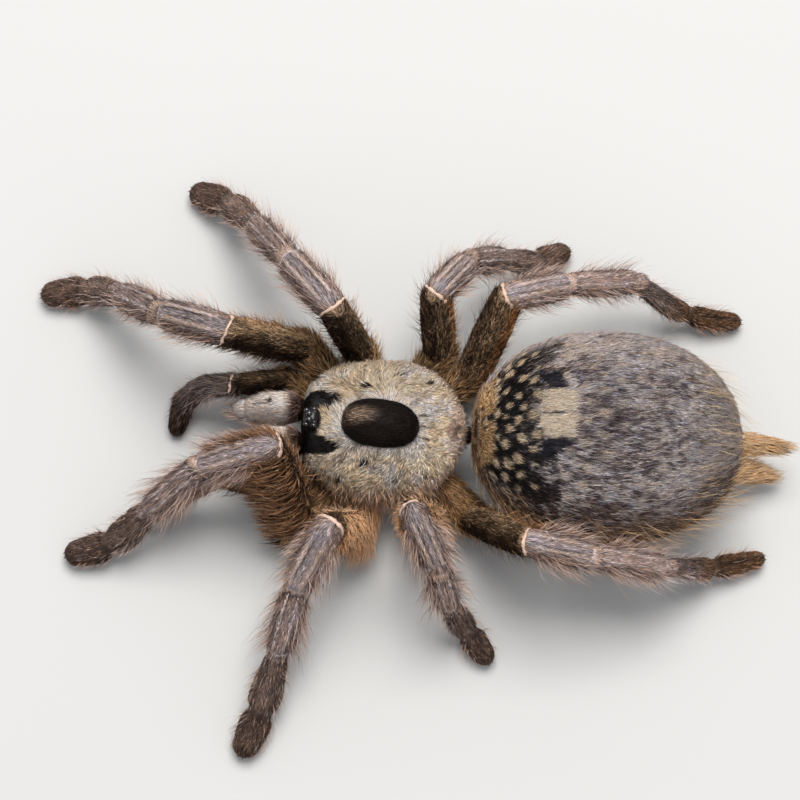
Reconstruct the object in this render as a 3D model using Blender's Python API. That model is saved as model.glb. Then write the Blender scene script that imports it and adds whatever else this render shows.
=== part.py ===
"""Horned baboon tarantula: an adult female at life size, as a still model standing on the floor.

The head points along -X, the spider's left side lies along -Y and its feet rest on z = 0.
Sizes are in millimetres, out to the tips of the dense coat, and are scaled to metres as each
piece is made. The body and legs are modelled round the middle of the carapace, and CENTRE
moves them so that the origin lies under the middle of the whole spider.
"""
from math import acos, atan2, cos, exp, hypot, pi, radians, sin, sqrt

import bmesh
import bpy
from mathutils import Matrix, Vector

MM = 0.001
GAP = 0.3
CENTRE = Vector((-3.2, 3.35, 0.0))

# Carapace: a shield, blunt in front and round behind.
CARAPACE_FRONT = -9.6
CARAPACE_REAR = 10.3
CARAPACE_HALF_WIDTH = 8.6
CARAPACE_WIDEST = 1.5
CARAPACE_RIM = 8.4
CARAPACE_UNDER = 7.5
CARAPACE_TOP = 12.9
FRONT_SQUARENESS = 3.4
REAR_SQUARENESS = 2.1

# Foveal horn and eye tubercle, which stand on the carapace.
HORN_PLACE = Vector((0.1, -0.3, 12.4))
HORN_SIZE = Vector((4.6, 2.9, 2.9))
HORN_YAW = -5
EYES_PLACE = Vector((-7.9, 0.0, 12.6))
EYES_SIZE = Vector((1.15, 1.55, 1.15))

# Chelicerae and fangs, one each side of the middle.
CHELICERA_OFFSET = 2.15
CHELICERA_HALF_WIDTH = 1.95
CHELICERA_BACK = Vector((-9.9, CHELICERA_OFFSET, 9.1))
CHELICERA_FRONT = Vector((-16.9, CHELICERA_OFFSET, 7.7))
FANG_RADIUS = 0.62

# Sternum, pedicel, abdomen and spinnerets.
STERNUM_PLACE = Vector((0.6, 0.0, 3.9))
STERNUM_SIZE = Vector((6.4, 4.3, 1.1))
PEDICEL_RADIUS = 1.1
PEDICEL_HEIGHT = 7.0
ABDOMEN_PLACE = Vector((26.8, -0.6, 10.9))
ABDOMEN_SIZE = Vector((16.1, 12.7, 9.9))
ABDOMEN_SQUARENESS = 2.15
SPINNERET_BASE = Vector((40.2, 1.65, 6.0))
SPINNERET_SHIFT = -1.1
# From each spinneret's base to the middle of its tip; the left one hangs lower.
SPINNERET_REACH = {"right": Vector((7.6, -0.45, 0.6)), "left": Vector((6.4, -0.2, -3.2))}

# Legs: lengths between joints of the femur, patella, tibia, metatarsus and tarsus.
LEG_LENGTHS = {
    1: (14.7, 9.3, 9.0, 7.4, 6.1),
    2: (13.2, 9.3, 8.6, 7.5, 6.0),
    3: (11.9, 6.8, 7.0, 7.2, 5.0),
    4: (14.6, 8.1, 9.5, 10.0, 7.1),
}
# Half-thickness at the middle of the same five, with the coat.
LEG_RADII = {
    1: (2.35, 2.25, 2.0, 1.85, 1.9),
    2: (2.3, 2.25, 1.95, 1.8, 1.9),
    3: (2.2, 2.0, 1.8, 1.6, 1.7),
    4: (2.25, 2.0, 1.75, 1.45, 1.45),
}
FEMUR_WIDTH = 0.92
FEMUR_DEPTH = 1.1
# Pads of dense hair swell each foot into two ovals, with a notch at the joint between them.
PAD_SWELL = {1: 0.18, 2: 0.22, 3: 0.16, 4: 0.12}
NOTCH_DEPTH = 0.26
NOTCH_REACH = 0.8
# Feelers, or palps, have no metatarsus.
PALP_LENGTHS = (8.8, 4.9, 4.7, 4.3)
PALP_RADII = (1.65, 1.6, 1.5, 1.6)

# Pose: where the trochanter meets the femur, then each segment's heading and slope in degrees.
LEG_POSES = {
    ("right", 1): ((-9.6, 10.6), (-170, 160, 146, 154, -172), (54, -24, -41, -51, -2)),
    ("right", 2): ((-2.7, 10.3), (145, 130, 128, 130, 156), (73, -20, -34, -45, -24)),
    ("right", 3): ((7.0, 10.4), (101, 53, 23, 21, 24), (68, -24, -45, -59, -4)),
    ("right", 4): ((10.9, 7.9), (60, 20, 12, -18, -1), (59, -21, -26, -48, -10)),
    ("left", 1): ((-9.2, -11.6), (117, -170, -144, -143, -168), (58, -31, -31, -41, -12)),
    ("left", 2): ((-2.8, -12.0), (-139, -122, -106, -106, -113), (75, -45, -30, -29, -15)),
    ("left", 3): ((6.5, -11.3), (-156, -63, -66, -36, -52), (80, -20, -61, -68, -3)),
    ("left", 4): ((11.6, -9.7), (-40, -6, -2, 14, 16), (57, -19, -23, -53, -10)),
}
PALP_POSES = {
    "right": ((-11.6, 6.9), (-158, 171, -158, -105), (43, -43, -53, -25)),
    "left": ((-11.2, -6.8), (176, -161, -155, -160), (26, -36, -44, -4)),
}
# Where each coxa starts beside the sternum; the palp's coxa is number 0.
COXA_ROOTS = {0: (-6.9, 3.6), 1: (-4.3, 5.2), 2: (-0.9, 5.9), 3: (3.1, 5.7), 4: (6.6, 4.3)}
COXA_ROOT_HEIGHT = 4.9
COXA_ROOT_RADIUS = 1.45
TOE_HEIGHT = 1.5
TOE_DOME = 1.5

COLOURS = {
    "carapace": (0.36, 0.28, 0.17),
    "horn": (0.02, 0.012, 0.009),
    "eyes": (0.01, 0.01, 0.012),
    "chelicera": (0.42, 0.36, 0.28),
    "fang": (0.02, 0.012, 0.01),
    "sternum": (0.07, 0.045, 0.03),
    "abdomen": (0.1, 0.075, 0.055),
    "spinneret": (0.3, 0.16, 0.07),
    "coxa": (0.25, 0.14, 0.06),
    "femur": (0.11, 0.065, 0.035),
    "patella": (0.27, 0.2, 0.16),
    "tibia": (0.22, 0.15, 0.115),
    "foot": (0.12, 0.075, 0.055),
}


def clear_scene():
    """Remove the objects that a new file starts with."""
    for old in list(bpy.data.objects):
        bpy.data.objects.remove(old, do_unlink=True)


def make_collection(name, hidden=False):
    """Add a collection to the scene."""
    collection = bpy.data.collections.new(name)
    collection.hide_render = hidden
    bpy.context.scene.collection.children.link(collection)
    return collection


def make_material(name, roughness=0.75):
    """Principled material in the named part's colour."""
    material = bpy.data.materials.get(name)
    if material is None:
        material = bpy.data.materials.new(name)
        material.use_nodes = True
        shader = material.node_tree.nodes["Principled BSDF"]
        shader.inputs["Base Color"].default_value = (*COLOURS[name], 1.0)
        shader.inputs["Roughness"].default_value = roughness
        shader.inputs["Metallic"].default_value = 0.0
    return material


def superellipse(first, second, power):
    """Length of a direction measured on a superellipse, which is 1 on its outline."""
    return (abs(first) ** power + abs(second) ** power) ** (1 / power)


def heading(yaw, slope):
    """Unit vector with a compass heading from +X and a slope above the floor, in degrees."""
    level = cos(radians(slope))
    return Vector((level * cos(radians(yaw)), level * sin(radians(yaw)), sin(radians(slope))))


def sphere_piece(sides, rings, place):
    """Sphere primitive with each vertex moved to place(unit vector), in millimetres."""
    shape = bmesh.new()
    bmesh.ops.create_uvsphere(shape, u_segments=sides, v_segments=rings, radius=1)
    for vertex in shape.verts:
        vertex.co = place(vertex.co.normalized())
    return shape


def trim(shape, point, normal):
    """Cut away what lies on the normal's side of a plane and close the cut."""
    geometry = shape.verts[:] + shape.edges[:] + shape.faces[:]
    cut = bmesh.ops.bisect_plane(
        shape, geom=geometry, dist=1e-5, plane_co=point, plane_no=normal, clear_outer=True
    )
    rim = [item for item in cut["geom_cut"] if isinstance(item, bmesh.types.BMEdge)]
    if rim:
        bmesh.ops.holes_fill(shape, edges=rim, sides=0)


def finish_piece(shape, name, material, collection):
    """Turn a piece's faces outward, scale it to metres and put it in the model."""
    bmesh.ops.remove_doubles(shape, verts=shape.verts, dist=1e-4)
    bmesh.ops.recalc_face_normals(shape, faces=shape.faces)
    bmesh.ops.transform(shape, matrix=Matrix.Translation(CENTRE), verts=shape.verts)
    bmesh.ops.scale(shape, vec=(MM, MM, MM), verts=shape.verts)
    mesh = bpy.data.meshes.new(name)
    shape.to_mesh(mesh)
    shape.free()
    mesh.shade_smooth()
    mesh.set_sharp_from_angle(angle=radians(50))
    piece = bpy.data.objects.new(name, mesh)
    piece.data.materials.append(material)
    collection.objects.link(piece)
    return piece


def limb_piece(joints, half_widths, half_heights, sides=10, rings=8, across=None, pad=0.0):
    """Rounded limb through two or three joints, domed past both ends.

    The half-widths and half-heights are given at the start, middle and end, and a smooth
    curve passes through them. Between the first and last joint the limb follows the joints,
    turning gradually at the middle one. The width lies along across, or level without it.
    A pad above nothing swells each of the two stretches sideways by that share.
    """
    lengths = [(b - a).length for a, b in zip(joints, joints[1:])]
    total = sum(lengths)
    start_dome = half_heights[0]
    end_dome = half_heights[2]
    turn = 0.28 * total

    def quadratic(values, part):
        first, middle, last = values
        rise = 2 * part * (1 - part)
        return first * (1 - part) ** 2 + (2 * middle - (first + last) / 2) * rise + last * part**2

    def axis_at(distance):
        """Point and direction of the limb's axis."""
        first = (joints[1] - joints[0]).normalized()
        if len(joints) == 2:
            return joints[0] + first * distance, first
        second = (joints[2] - joints[1]).normalized()
        share = min(max((distance - lengths[0] + turn) / (2 * turn), 0), 1)
        if share == 0:
            return joints[0] + first * distance, first
        if share == 1:
            return joints[1] + second * (distance - lengths[0]), second
        start = joints[1] - first * turn
        end = joints[1] + second * turn
        point = start * (1 - share) ** 2 + joints[1] * 2 * share * (1 - share) + end * share**2
        return point, first.lerp(second, share).normalized()

    def swell(distance):
        """Sideways growth of a foot: a pad on each stretch, less the notch between them."""
        if pad == 0:
            return 1.0
        first = (distance - 0.66 * lengths[0]) / (0.32 * lengths[0])
        second = (distance - lengths[0] - 0.52 * lengths[1]) / (0.55 * lengths[1])
        notch = (distance - lengths[0]) / NOTCH_REACH
        return 1 + pad * (exp(-(first**2)) + exp(-(second**2))) - NOTCH_DEPTH * exp(-(notch**2))

    def place(unit):
        along = (1 - unit.z) / 2
        distance = along * (total + start_dome + end_dome) - start_dome
        part = min(max(distance / total, 0), 1)
        dome = 1.0
        if distance < 0:
            dome = sqrt(max(1 - (distance / start_dome) ** 2, 0))
        elif distance > total:
            dome = sqrt(max(1 - ((distance - total) / end_dome) ** 2, 0))
        around = atan2(unit.y, unit.x)
        point, direction = axis_at(distance)
        side = across or Vector((0, 0, 1)).cross(direction).normalized()
        up = direction.cross(side)
        if hypot(unit.x, unit.y) < 1e-4:
            return point
        wide = quadratic(half_widths, part) * swell(distance) * dome
        high = quadratic(half_heights, part) * (0.5 + 0.5 * min(swell(distance), 1)) * dome
        return point + side * (cos(around) * wide) + up * (sin(around) * high)

    return sphere_piece(sides, rings, place)


def mitre(shape, joint, before, after, keep_after):
    """Cut a limb at a joint, along the plane that halves the bend, and leave half the gap."""
    plane = (before + after).normalized()
    if keep_after:
        trim(shape, joint + plane * GAP / 2, -plane)
    else:
        trim(shape, joint - plane * GAP / 2, plane)


def chain(hip, yaws, slopes, lengths):
    """Joint positions from the hip to the toe, at the height that sets the toe on the floor.

    The last one is the middle of the toe's rounded end, short of the tip by its dome.
    """
    spans = (*lengths[:-1], lengths[-1] - TOE_DOME)
    steps = [heading(yaw, slope) * span for yaw, slope, span in zip(yaws, slopes, spans)]
    rise = sum(step.z for step in steps)
    joints = [Vector((hip[0], hip[1], TOE_HEIGHT - rise))]
    for step in steps:
        joints.append(joints[-1] + step)
    return joints


def coxa_root(side, number):
    """Where a coxa starts beside the sternum."""
    x, y = COXA_ROOTS[number]
    return Vector((x, y if side == "right" else -y, COXA_ROOT_HEIGHT))


def make_coxa(name, root, hip, femur_direction, radius, collection):
    """Coxa and trochanter, from beside the sternum to the femur."""
    direction = (hip - root).normalized()
    widths = (COXA_ROOT_RADIUS, (COXA_ROOT_RADIUS + radius) * 0.53, radius)
    shape = limb_piece([root, hip], widths, widths, rings=6)
    trim(shape, root, -direction)
    mitre(shape, hip, direction, femur_direction, keep_after=False)
    return finish_piece(shape, name, make_material("coxa"), collection)


def make_segment(name, kind, joints, before, after, radius, collection):
    """One straight leg segment between two mitred joints.

    A femur is deeper than wide, in the plane in which its knee bends.
    """
    direction = (joints[1] - joints[0]).normalized()
    across = direction.cross(after).normalized() if kind == "femur" else None
    thin, deep = (FEMUR_WIDTH, FEMUR_DEPTH) if kind == "femur" else (1.0, 1.0)
    widths = (radius * 0.92 * thin, radius * thin, radius * 0.9 * thin)
    heights = (radius * deep, radius * 1.05 * deep, radius * 0.92 * deep)
    shape = limb_piece(joints, widths, heights, across=across)
    mitre(shape, joints[0], before, direction, keep_after=True)
    mitre(shape, joints[1], direction, after, keep_after=False)
    return finish_piece(shape, name, make_material(kind), collection)


def make_foot(name, joints, before, widths, heights, collection, pad=0.0):
    """Metatarsus and tarsus, or a feeler's tarsus, with a small flat on the floor."""
    direction = (joints[1] - joints[0]).normalized()
    rings = 13 if pad else 8
    shape = limb_piece(joints, widths, heights, sides=12, rings=rings, pad=pad)
    mitre(shape, joints[0], before, direction, keep_after=True)
    trim(shape, Vector((0, 0, 0)), Vector((0, 0, -1)))
    return finish_piece(shape, name, make_material("foot"), collection)


def make_leg(side, number, collection):
    """Coxa, femur, patella, tibia and foot of one leg."""
    hip, yaws, slopes = LEG_POSES[side, number]
    radii = LEG_RADII[number]
    joints = chain(hip, yaws, slopes, LEG_LENGTHS[number])
    ways = [(b - a).normalized() for a, b in zip(joints, joints[1:])]
    root = coxa_root(side, number)
    coxa_way = (joints[0] - root).normalized()
    stem = f"leg_{number}_{side}_"
    make_coxa(stem + "coxa", root, joints[0], ways[0], radii[0], collection)
    befores = [coxa_way, ways[0], ways[1]]
    for index, kind in enumerate(("femur", "patella", "tibia")):
        ends = joints[index : index + 2]
        make_segment(stem + kind, kind, ends, befores[index], ways[index + 1], radii[index], collection)
    widths = (radii[3] * 0.9, (radii[3] + radii[4]) / 2, radii[4] * 0.9)
    heights = (radii[3] * 0.92, radii[3] * 0.9, TOE_HEIGHT + 0.2)
    pad = PAD_SWELL[number]
    make_foot(stem + "foot", joints[3:6], ways[2], widths, heights, collection, pad)


def make_palp(side, collection):
    """Coxa, femur, patella, tibia and foot of one feeler."""
    hip, yaws, slopes = PALP_POSES[side]
    joints = chain(hip, yaws, slopes, PALP_LENGTHS)
    ways = [(b - a).normalized() for a, b in zip(joints, joints[1:])]
    root = coxa_root(side, 0)
    coxa_way = (joints[0] - root).normalized()
    stem = f"palp_{side}_"
    make_coxa(stem + "coxa", root, joints[0], ways[0], PALP_RADII[0], collection)
    make_segment(
        stem + "femur", "femur", joints[0:2], coxa_way, ways[1], PALP_RADII[0], collection
    )
    shank = limb_piece(joints[1:4], (PALP_RADII[1],) * 3, (PALP_RADII[1], PALP_RADII[1], PALP_RADII[2]))
    mitre(shank, joints[1], ways[0], ways[1], keep_after=True)
    mitre(shank, joints[3], ways[2], ways[3], keep_after=False)
    finish_piece(shank, stem + "shank", make_material("tibia"), collection)
    widths = (PALP_RADII[2], PALP_RADII[3], PALP_RADII[3] * 0.85)
    heights = (PALP_RADII[2] * 0.95, PALP_RADII[3], TOE_HEIGHT + 0.2)
    make_foot(stem + "foot", joints[3:5], ways[2], widths, heights, collection)


def carapace_half_width(x):
    """Half-width of the shield at a distance along it."""
    if x < CARAPACE_WIDEST:
        reach, power = CARAPACE_WIDEST - CARAPACE_FRONT, FRONT_SQUARENESS
    else:
        reach, power = CARAPACE_REAR - CARAPACE_WIDEST, REAR_SQUARENESS
    part = min(abs(x - CARAPACE_WIDEST) / reach, 1)
    narrowing = 1 - 0.12 * part**2 if x < CARAPACE_WIDEST else 1
    return CARAPACE_HALF_WIDTH * narrowing * (1 - part**power) ** (1 / power)


def carapace_ridge(x):
    """Height of the shield's middle line: high over the head and sloping down behind."""
    behind = max(x - 1.0, 0) / (CARAPACE_REAR - 1.0)
    return CARAPACE_TOP - 3.2 * behind**1.6


def make_carapace(collection):
    """The shield over the front half of the body, with the block of flesh under it."""

    def place(unit):
        level = hypot(unit.x, unit.y)
        out = min(2 * acos(min(abs(unit.z), 1)) / pi, 1)
        if level < 1e-4:
            unit_x, unit_y = 0.0, 0.0
        else:
            unit_x, unit_y = unit.x / level, unit.y / level
        reach = CARAPACE_REAR - CARAPACE_WIDEST if unit_x > 0 else CARAPACE_WIDEST - CARAPACE_FRONT
        power = REAR_SQUARENESS if unit_x > 0 else FRONT_SQUARENESS
        size = superellipse(unit_x, unit_y, power)
        if unit.z < 0:
            out *= 0.97
        x = CARAPACE_WIDEST + reach * unit_x / size * out if level > 1e-4 else CARAPACE_WIDEST
        y = CARAPACE_HALF_WIDTH * unit_y / size * out if level > 1e-4 else 0.0
        if x < CARAPACE_WIDEST:
            y *= 1 - 0.12 * ((CARAPACE_WIDEST - x) / reach) ** 2
        if unit.z >= 0:
            across = min(abs(y) / max(carapace_half_width(x), 0.1), 1)
            drop = (1 - across**2.4) ** 0.55
            front = min(max((x - CARAPACE_FRONT) / 1.2, 0), 1) ** 0.5
            height = CARAPACE_RIM + (carapace_ridge(x) - CARAPACE_RIM) * drop * front
            return Vector((x, y, height))
        return Vector((x, y, CARAPACE_UNDER))

    shape = sphere_piece(28, 14, place)
    return finish_piece(shape, "carapace", make_material("carapace", 0.6), collection)


def make_oval(name, place_at, size, material, collection, floor=None, yaw=0, power=2.0, detail=(16, 12)):
    """Ellipsoid, optionally squarer, turned and cut flat at a height."""
    turn = Matrix.Rotation(radians(yaw), 3, "Z")

    def place(unit):
        level = superellipse(unit.x, unit.y, power)
        whole = superellipse(level, unit.z, power)
        stretched = Vector((unit.x * size.x, unit.y * size.y, unit.z * size.z)) / whole
        return place_at + turn @ stretched

    shape = sphere_piece(*detail, place)
    if floor is not None:
        trim(shape, Vector((0, 0, floor)), Vector((0, 0, -1)))
    return finish_piece(shape, name, make_material(material), collection)


def make_head(collection):
    """Horn, eye tubercle, chelicerae and fangs."""
    make_oval("horn", HORN_PLACE, HORN_SIZE, "horn", collection, CARAPACE_TOP + GAP, HORN_YAW, 2.3)
    eyes_floor = CARAPACE_TOP + GAP
    make_oval("eye_tubercle", EYES_PLACE, EYES_SIZE, "eyes", collection, eyes_floor, detail=(14, 10))
    for side, sign in (("right", 1), ("left", -1)):
        back = Vector((CHELICERA_BACK.x, sign * CHELICERA_OFFSET, CHELICERA_BACK.z))
        front = Vector((CHELICERA_FRONT.x, sign * CHELICERA_OFFSET, CHELICERA_FRONT.z))
        widths = (CHELICERA_HALF_WIDTH, CHELICERA_HALF_WIDTH, CHELICERA_HALF_WIDTH * 0.72)
        heights = (3.6, 3.7, 2.2)
        inner_end = front + Vector((widths[2], 0, 0))
        shape = limb_piece([back, inner_end], widths, heights, sides=14, rings=10)
        trim(shape, Vector((CARAPACE_FRONT - GAP, 0, 0)), Vector((1, 0, 0)))
        finish_piece(shape, f"chelicera_{side}", make_material("chelicera"), collection)
        make_fang(side, sign, collection)


def make_fang(side, sign, collection):
    """Fang folded back under the chelicera, tapering along an arc."""
    y = sign * CHELICERA_OFFSET
    points = []
    for step in range(7):
        turn = radians(15 + 20 * step)
        points.append(Vector((-14.2 - 2.6 * cos(turn), y, 4.4 - 1.7 * sin(turn))))
    curve = bpy.data.curves.new(f"fang_{side}", "CURVE")
    curve.dimensions = "3D"
    curve.bevel_depth = FANG_RADIUS
    curve.bevel_resolution = 2
    curve.use_fill_caps = True
    spline = curve.splines.new("POLY")
    spline.points.add(len(points) - 1)
    for index, (bead, point) in enumerate(zip(spline.points, points)):
        bead.co = (*point, 1)
        bead.radius = 1 - 0.085 * index
    guide = bpy.data.objects.new(f"fang_{side}_guide", curve)
    collection.objects.link(guide)
    bpy.context.view_layer.update()
    shape = bmesh.new()
    shape.from_mesh(guide.to_mesh())
    guide.to_mesh_clear()
    bpy.data.objects.remove(guide, do_unlink=True)
    bmesh.ops.remove_doubles(shape, verts=shape.verts, dist=1e-4)
    return finish_piece(shape, f"fang_{side}", make_material("fang", 0.25), collection)


def make_trunk(collection, cutters):
    """Sternum, pedicel, abdomen and spinnerets."""
    make_oval("sternum", STERNUM_PLACE, STERNUM_SIZE, "sternum", collection, power=2.4, detail=(20, 10))
    make_oval(
        "abdomen", ABDOMEN_PLACE, ABDOMEN_SIZE, "abdomen", collection,
        power=ABDOMEN_SQUARENESS, detail=(28, 16),
    )
    clear_size = ABDOMEN_SIZE + Vector((GAP, GAP, GAP))
    cutter = make_oval(
        "abdomen_clearance", ABDOMEN_PLACE, clear_size, "abdomen", cutters,
        power=ABDOMEN_SQUARENESS, detail=(28, 16),
    )
    cutter.hide_render = True
    cutter.display_type = "WIRE"
    start = Vector((CARAPACE_REAR - 2.5, 0, PEDICEL_HEIGHT - 1.0))
    end = Vector((CARAPACE_REAR + 4.0, 0, PEDICEL_HEIGHT))
    pedicel = limb_piece([start, end], (PEDICEL_RADIUS,) * 3, (PEDICEL_RADIUS * 0.8,) * 3)
    cut_from(finish_piece(pedicel, "pedicel", make_material("sternum"), collection), cutter)
    for side, sign in (("right", 1), ("left", -1)):
        base = Vector((SPINNERET_BASE.x, sign * SPINNERET_BASE.y + SPINNERET_SHIFT, SPINNERET_BASE.z))
        tip = base + SPINNERET_REACH[side]
        shape = limb_piece([base, tip], (1.5, 1.45, 0.85), (1.45, 1.4, 0.8))
        spinneret = finish_piece(shape, f"spinneret_{side}", make_material("spinneret"), collection)
        cut_from(spinneret, cutter)


def cut_from(piece, cutter):
    """Take the cutter's space out of a piece."""
    cut = piece.modifiers.new("clearance", "BOOLEAN")
    cut.operation = "DIFFERENCE"
    cut.object = cutter


def main():
    clear_scene()
    model = make_collection("tarantula")
    cutters = make_collection("cutters", hidden=True)
    make_carapace(model)
    make_head(model)
    make_trunk(model, cutters)
    for side, number in LEG_POSES:
        make_leg(side, number, model)
    for side in PALP_POSES:
        make_palp(side, model)


main()
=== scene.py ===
"""Horned baboon tarantula at life size: skin, coat, horn, eyes, fangs and claws on its solids.

Shapes are worked out in millimetres round the middle of the carapace, with the head along -X,
the spider's left side along -Y and the floor at z = 0. They are moved to the model's place and
scaled to metres as each mesh is made. A surface is a function of u, from head to tail or from
hip to toe, and v, once round, both from 0 to 1.
"""

from collections import namedtuple
from math import cos, pi, radians, sin

import bpy
import numpy as np
from mathutils import Matrix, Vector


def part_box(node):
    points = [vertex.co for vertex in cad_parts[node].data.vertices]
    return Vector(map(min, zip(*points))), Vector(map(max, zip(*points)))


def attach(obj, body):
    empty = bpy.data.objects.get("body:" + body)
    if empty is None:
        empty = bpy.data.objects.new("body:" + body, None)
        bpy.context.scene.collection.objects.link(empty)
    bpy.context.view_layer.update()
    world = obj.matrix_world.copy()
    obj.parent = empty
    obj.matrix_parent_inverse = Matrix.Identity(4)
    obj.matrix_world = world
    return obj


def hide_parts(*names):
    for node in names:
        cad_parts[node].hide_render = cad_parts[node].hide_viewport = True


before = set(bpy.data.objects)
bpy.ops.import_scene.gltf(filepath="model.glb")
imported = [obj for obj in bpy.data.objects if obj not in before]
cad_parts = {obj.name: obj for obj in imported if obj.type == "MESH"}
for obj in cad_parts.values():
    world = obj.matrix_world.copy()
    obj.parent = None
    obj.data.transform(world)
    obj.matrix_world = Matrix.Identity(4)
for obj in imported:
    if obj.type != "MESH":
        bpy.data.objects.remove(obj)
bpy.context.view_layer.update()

MM = 0.001

# Sizes of the solids, out to the tips of the coat.
CARAPACE_FRONT = -9.6
CARAPACE_REAR = 10.3
CARAPACE_HALF_WIDTH = 8.6
CARAPACE_WIDEST = 1.5
CARAPACE_RIM = 8.4
CARAPACE_UNDER = 7.5
CARAPACE_TOP = 12.9
FRONT_SQUARENESS = 3.4
REAR_SQUARENESS = 2.1
HORN_PLACE = (0.1, -0.3, 12.4)
HORN_SIZE = (4.6, 2.9, 2.9)
HORN_YAW = -5
EYES_PLACE = (-7.9, 0.0, 12.6)
EYES_SIZE = (1.15, 1.55, 1.15)
CHELICERA_OFFSET = 2.15
CHELICERA_HALF_WIDTH = 1.95
CHELICERA_BACK = (-9.9, 9.1)
CHELICERA_FRONT = (-16.9, 7.7)
FANG_RADIUS = 0.62
STERNUM_PLACE = (0.6, 0.0, 3.9)
STERNUM_SIZE = (6.4, 4.3, 1.1)
PEDICEL_RADIUS = 1.1
PEDICEL_HEIGHT = 7.0
ABDOMEN_PLACE = (26.8, -0.6, 10.9)
ABDOMEN_SIZE = (16.1, 12.7, 9.9)
ABDOMEN_SQUARENESS = 2.15
SPINNERET_BASE = (40.2, 1.65, 6.0)
SPINNERET_SHIFT = -1.1
SPINNERET_REACH = {"right": (7.6, -0.45, 0.6), "left": (6.4, -0.2, -3.2)}
LEG_LENGTHS = {
    1: (14.7, 9.3, 9.0, 7.4, 6.1),
    2: (13.2, 9.3, 8.6, 7.5, 6.0),
    3: (11.9, 6.8, 7.0, 7.2, 5.0),
    4: (14.6, 8.1, 9.5, 10.0, 7.1),
}
LEG_RADII = {
    1: (2.35, 2.25, 2.0, 1.85, 1.9),
    2: (2.3, 2.25, 1.95, 1.8, 1.9),
    3: (2.2, 2.0, 1.8, 1.6, 1.7),
    4: (2.25, 2.0, 1.75, 1.45, 1.45),
}
# A segment's half-widths and half-heights at its start, middle and end, as shares of its radius.
SEGMENT_WIDTHS = np.array((0.92, 1.0, 0.9))
SEGMENT_HEIGHTS = np.array((1.0, 1.05, 0.92))
FEMUR_WIDTH = 0.92
FEMUR_DEPTH = 1.1
PAD_SWELL = {1: 0.18, 2: 0.22, 3: 0.16, 4: 0.12}
NOTCH_DEPTH = 0.26
NOTCH_REACH = 0.8
PALP_LENGTHS = (8.8, 4.9, 4.7, 4.3)
PALP_RADII = (1.65, 1.6, 1.5, 1.6)
LEG_POSES = {
    ("right", 1): ((-9.6, 10.6), (-170, 160, 146, 154, -172), (54, -24, -41, -51, -2)),
    ("right", 2): ((-2.7, 10.3), (145, 130, 128, 130, 156), (73, -20, -34, -45, -24)),
    ("right", 3): ((7.0, 10.4), (101, 53, 23, 21, 24), (68, -24, -45, -59, -4)),
    ("right", 4): ((10.9, 7.9), (60, 20, 12, -18, -1), (59, -21, -26, -48, -10)),
    ("left", 1): ((-9.2, -11.6), (117, -170, -144, -143, -168), (58, -31, -31, -41, -12)),
    ("left", 2): ((-2.8, -12.0), (-139, -122, -106, -106, -113), (75, -45, -30, -29, -15)),
    ("left", 3): ((6.5, -11.3), (-156, -63, -66, -36, -52), (80, -20, -61, -68, -3)),
    ("left", 4): ((11.6, -9.7), (-40, -6, -2, 14, 16), (57, -19, -23, -53, -10)),
}
PALP_POSES = {
    "right": ((-11.6, 6.9), (-158, 171, -158, -105), (43, -43, -53, -25)),
    "left": ((-11.2, -6.8), (176, -161, -155, -160), (26, -36, -44, -4)),
}
COXA_ROOTS = {0: (-6.9, 3.6), 1: (-4.3, 5.2), 2: (-0.9, 5.9), 3: (3.1, 5.7), 4: (6.6, 4.3)}
COXA_ROOT_HEIGHT = 4.9
COXA_ROOT_RADIUS = 1.45
TOE_HEIGHT = 1.5
TOE_DOME = 1.5

# How far the skin lies inside the solids, under the coat.
LEG_COAT = 0.28
BODY_COAT = 0.4
SHIELD_COAT = 0.28
SKIN_GRAIN = 0.35
WAIST_DEPTH = 0.2
WAIST_REACH = 0.7
# At a knee the patella's rounded end lies over the short end of the femur. Its pale rim is the
# edge of a plane that leans back by an angle, a little past the joint.
KNEE_DOME = 1.0
RIM_LEAN = {("left", 1): 72, ("left", 2): 66, ("left", 3): 70}
RIM_LEAN_OTHERS = 36
RIM_PLACE = {72: -0.45, 66: -0.45, 70: -0.45, 36: 0.1}

shield_low, shield_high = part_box("carapace")
CENTRE = np.array(
    [shield_low.x / MM - CARAPACE_FRONT, (shield_low.y + shield_high.y) / 2 / MM, 0.0]
)


def rgb(red, green, blue):
    """A display colour from 0 to 255 as linear light: ((c + 0.055) / 1.055) ** 2.4."""
    share = np.array([red, green, blue]) / 255
    return np.where(share > 0.04045, ((share + 0.055) / 1.055) ** 2.4, share / 12.92)


STRAW = rgb(224, 204, 178)
STRAW_SHADE = rgb(146, 126, 104)
RING_GREY = rgb(204, 196, 192)
RIM_PINK = rgb(214, 190, 172)
JET = rgb(30, 24, 25)
CREAM = rgb(205, 180, 160)
PATCH_CREAM = rgb(232, 212, 188)
SPOT_CREAM = rgb(186, 164, 138)
SILVER = rgb(176, 165, 160)
FEMUR_OLIVE = rgb(148, 124, 98)
FEMUR_BROWN = rgb(58, 40, 28)
FEMUR_EDGE = rgb(150, 98, 54)
GOLD = rgb(166, 130, 96)
PATELLA_GREY = rgb(158, 141, 136)
PATELLA_SIDE = rgb(118, 98, 90)
LILAC = rgb(158, 148, 152)
TIBIA_GREY = rgb(140, 121, 115)
METATARSUS_BROWN = rgb(136, 114, 104)
TARSUS_BROWN = rgb(112, 90, 80)
PALP_BROWN = rgb(124, 108, 103)
PALP_TOE_BROWN = rgb(70, 50, 38)
RUST = rgb(132, 84, 52)
TOE_TAN = rgb(140, 104, 78)
RIM_CREAM = rgb(200, 170, 152)
FAN_BROWN = rgb(118, 82, 57)
FAN_TIP = rgb(206, 158, 122)
FLANK_GOLD = rgb(220, 186, 146)
PINK_TIP = rgb(214, 186, 172)
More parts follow.
